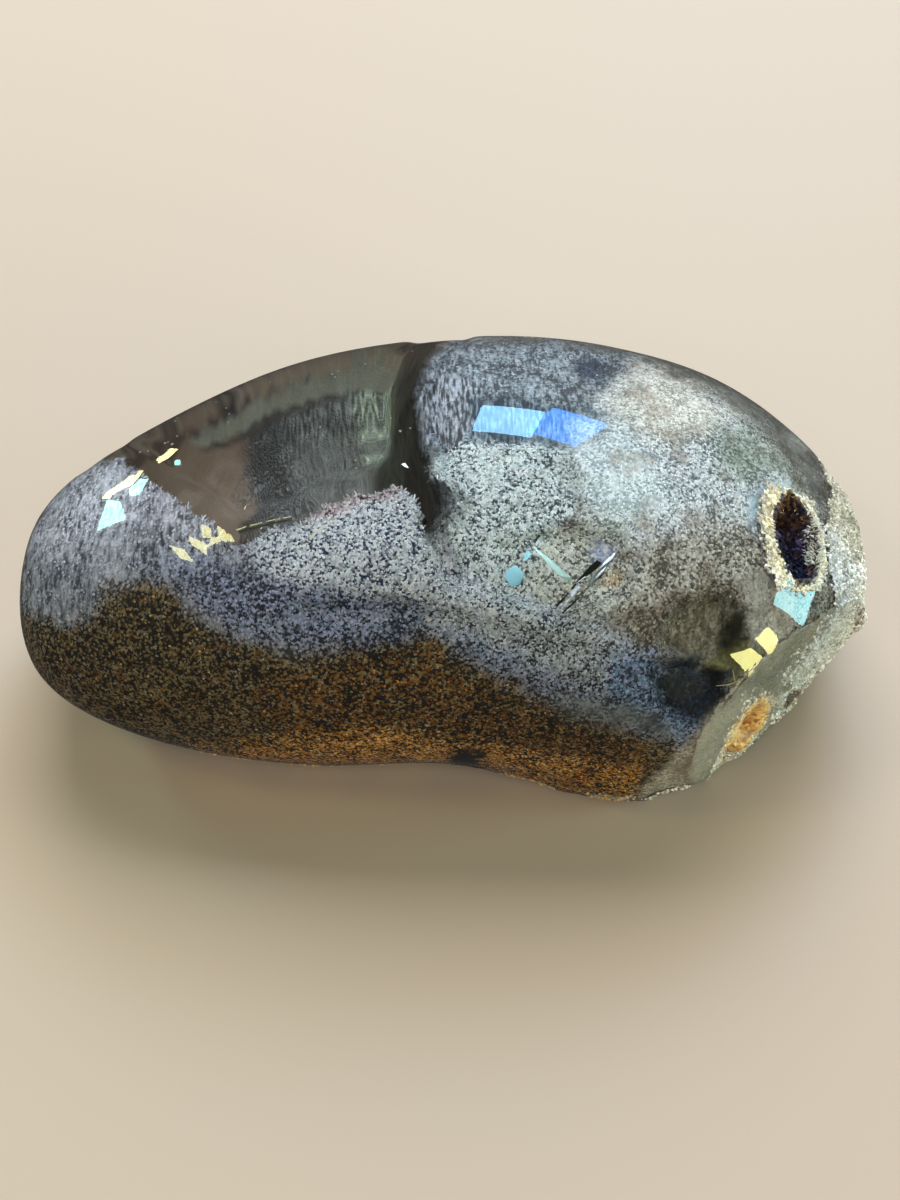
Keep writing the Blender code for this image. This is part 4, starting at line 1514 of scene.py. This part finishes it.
# Name, colour, roughness, whether it mirrors the softbox, depth in mm, and outlines in the frame
PLATES = (
    ("cyan_flash", (0.25, 0.5, 0.56), 0.45, True, 0.5, (
        ((515.6, 564.8), (524.2, 574), (520.2, 584.3), (511, 586.6), (504.7, 577.4), (506.4, 570.5)),
        ((523.6, 558), (526, 552), (530.5, 551), (530, 556.7), (526, 560.8)),
    )),
    ("mint_flash", (0.34, 0.5, 0.44), 0.45, True, 0.7, (
        (
            (531.7, 546.4), (534.5, 547), (544.3, 554.4), (571.8, 577.4), (570.7, 580.8), (560.4, 576.3),
            (549, 566), (542, 556.7),
        ),
    )),
    ("black_slivers", (0.002, 0.003, 0.002), 0.9, False, 0.4, (
        (
            (570, 589.5), (576, 582), (588, 568), (597, 560), (602, 563), (596, 569.5), (578.7, 582.6),
            (572, 589.5),
        ),
        ((575, 599), (590, 585), (605, 571.7), (604.6, 573.4), (587, 589), (572, 601.5)),
        ((555.8, 606), (568, 592.3), (569, 593.5), (556.8, 607.5)),
        ((562, 613), (569.6, 605), (570.4, 606), (563, 614)),
        ((566, 609), (579, 597), (579.6, 598), (567, 610)),
    )),
    ("silver_slivers", (0.28, 0.3, 0.31), 0.3, True, 0.45, (
        (
            (588.5, 584), (589.6, 579.7), (598, 570), (606, 560), (616.6, 551), (613, 558), (604, 571.7),
            (590, 586.6),
        ),
        ((569.6, 592.3), (577.6, 585), (580, 587.7), (572, 598)),
        ((559, 607.5), (571, 597.5), (572, 599), (560, 609)),
        ((575.3, 583.4), (600.6, 565), (600.8, 565.8), (576, 584)),
        ((564, 612.5), (576, 601.5), (576.8, 602.5), (565, 613.5)),
    )),
    ("white_fleck", (0.2, 0.21, 0.2), 0.3, True, 0.3, (
        ((401, 464), (405, 463), (409, 468), (405, 467)),
    )),
    ("pale_arc", (0.95, 0.95, 0.85), 0.4, False, 0.26, (
        ((309, 538), (315, 531), (324, 525), (336, 519), (337, 520), (326, 527), (317, 533), (311, 540)),
    )),
    ("gold_line", (0.085, 0.078, 0.04), 0.25, True, 0.6, (
        ((236, 529.5), (246, 526), (246, 527), (237, 531)),
        ((250, 525), (262, 522), (262, 523), (250, 526.5)),
        ((266, 521), (280, 518), (280, 519), (266, 522)),
        ((283, 517.5), (291, 516), (291, 517), (283, 518.5)),
    )),
    ("gold_cracks", (0.8, 0.7, 0.4), 0.5, False, 0.4, (
        (
            (716, 685.6), (728, 684.4), (740, 680), (754, 671), (754, 671.8), (741, 681.2), (729, 685.4),
            (716, 686.2),
        ),
        ((732.6, 670), (733.3, 670), (735, 679), (738.4, 689), (737.6, 689), (734, 680)),
    )),
    ("dark_line", (0.02, 0.015, 0.008), 0.3, False, 0.62, (
        ((238, 531.5), (262, 525), (290, 519), (290, 520), (262, 526.5), (240, 533.5)),
    )),
)


# %% Make the plates
def flashing(place, way, normal):
    """The facing of a plate here that mirrors the broad softbox into this line of sight."""
    lamp = (Vector(BROAD[0]) - place).normalized()
    sideways = (lamp - normal * lamp.dot(normal)) / QUARTZ_IOR
    inside = sideways + normal * np.sqrt(1 - sideways.length_squared)
    return (inside - way).normalized()


def add_plate(bm, outline, depth, mirrors):
    """One closed thin plate, whose corners lie on the bent lines of sight through its outline."""
    bent = [into_quartz(*spot) for spot in outline]
    if not all(bent):
        return
    middle = sum((place + way * depth * MM for place, way in bent), Vector()) / len(bent)
    way = sum((way for _, way in bent), Vector()).normalized()
    above = skin_tree.find_nearest(middle)[1]
    facing = flashing(middle, way, above) if mirrors else above
    corners = []
    for place, way in bent:
        reach = (middle - place).dot(facing) / way.dot(facing)
        corners.append(place + way * np.clip(reach, *DEPTH_RANGE))
    far = [bm.verts.new(place - facing * PLATE) for place in corners]
    near = [bm.verts.new(place) for place in corners]
    bm.faces.new(near)
    bm.faces.new(far[::-1])
    for i in range(len(near)):
        bm.faces.new((near[i], near[i - 1], far[i - 1], far[i]))


def make_plates(name, colour, roughness, mirrors, depth, outlines):
    """The plates of one finish, as one piece."""
    bm = bmesh.new()
    for outline in outlines:
        add_plate(bm, outline, depth, mirrors)
    bmesh.ops.recalc_face_normals(bm, faces=bm.faces)
    material = principled(name, Base_Color=(*colour, 1), Roughness=roughness, Metallic=float(mirrors))[0]
    piece = new_object(name, mesh_from(bm, name), material)
    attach(piece, "root")
    print(name, "faces:", len(piece.data.polygons))


for plate in PLATES:
    make_plates(*plate)

# %% [markdown]
# Bright specks float in the clear valley. Each is one more eight-sided grain, carried half a millimetre
# into the quartz along its bent line of sight, so it is a real grain in the crystal from every side.

# %% Specks
# Bright specks in the clear valley: place in the frame and half size in mm
SPECKS = (
    (222, 380, 0.16), (175, 421, 0.14), (177, 418, 0.1), (174, 412, 0.09), (165, 443, 0.15),
    (172, 444, 0.18), (168, 442, 0.1), (140, 452, 0.15), (148, 451, 0.13), (177, 436, 0.12),
    (216, 402, 0.09), (226, 408, 0.1), (229, 414, 0.09), (228, 422, 0.08), (332, 374, 0.14),
    (335, 377, 0.1), (338, 371, 0.09), (396, 342, 0.12), (413, 343, 0.18), (417, 344, 0.16),
    (412, 351, 0.15), (365, 364, 0.12), (320, 427, 0.12), (384, 427, 0.12), (391, 418, 0.1),
    (400, 431, 0.16), (410, 428, 0.12), (355, 460, 0.12), (356, 468, 0.1), (513, 374, 0.22),
    (428, 620, 0.25), (500, 334, 0.1), (597, 375, 0.12), (283, 362, 0.1), (270, 382, 0.09),
)
SPECK_DEPTH = 0.5
SPECK_COLOUR = (0.98, 0.94, 0.85, 1)


def make_specks():
    """Small bright grains that float just under the polish, as one piece."""
    bm = bmesh.new()
    for column, row, half in SPECKS:
        bent = into_quartz(column, row)
        if bent is None:
            continue
        place, way = bent
        form = octahedron()
        form.transform(Matrix.Translation(place + way * SPECK_DEPTH * MM) @ Matrix.Scale(half * MM, 4))
        bm.from_mesh(form)
        bpy.data.meshes.remove(form)
    finish = principled("specks", Base_Color=SPECK_COLOUR, Roughness=0.2)[0]
    specks = new_object("specks", mesh_from(bm, "specks"), finish)
    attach(specks, "root")
    print("specks faces:", len(specks.data.polygons))


make_specks()

# %% [markdown]
# ## Finish
# Both boxes, the CAD model's and the visual model's, are kept together, and the visual one is printed in
# millimetres.

# %% Finish
sizes = {"cad": [list(c) for c in CAD_BOX], "visual": [list(c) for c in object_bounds()]}
print("visual box in mm:", [round(c / MM, 2) for corner in sizes["visual"] for c in corner])
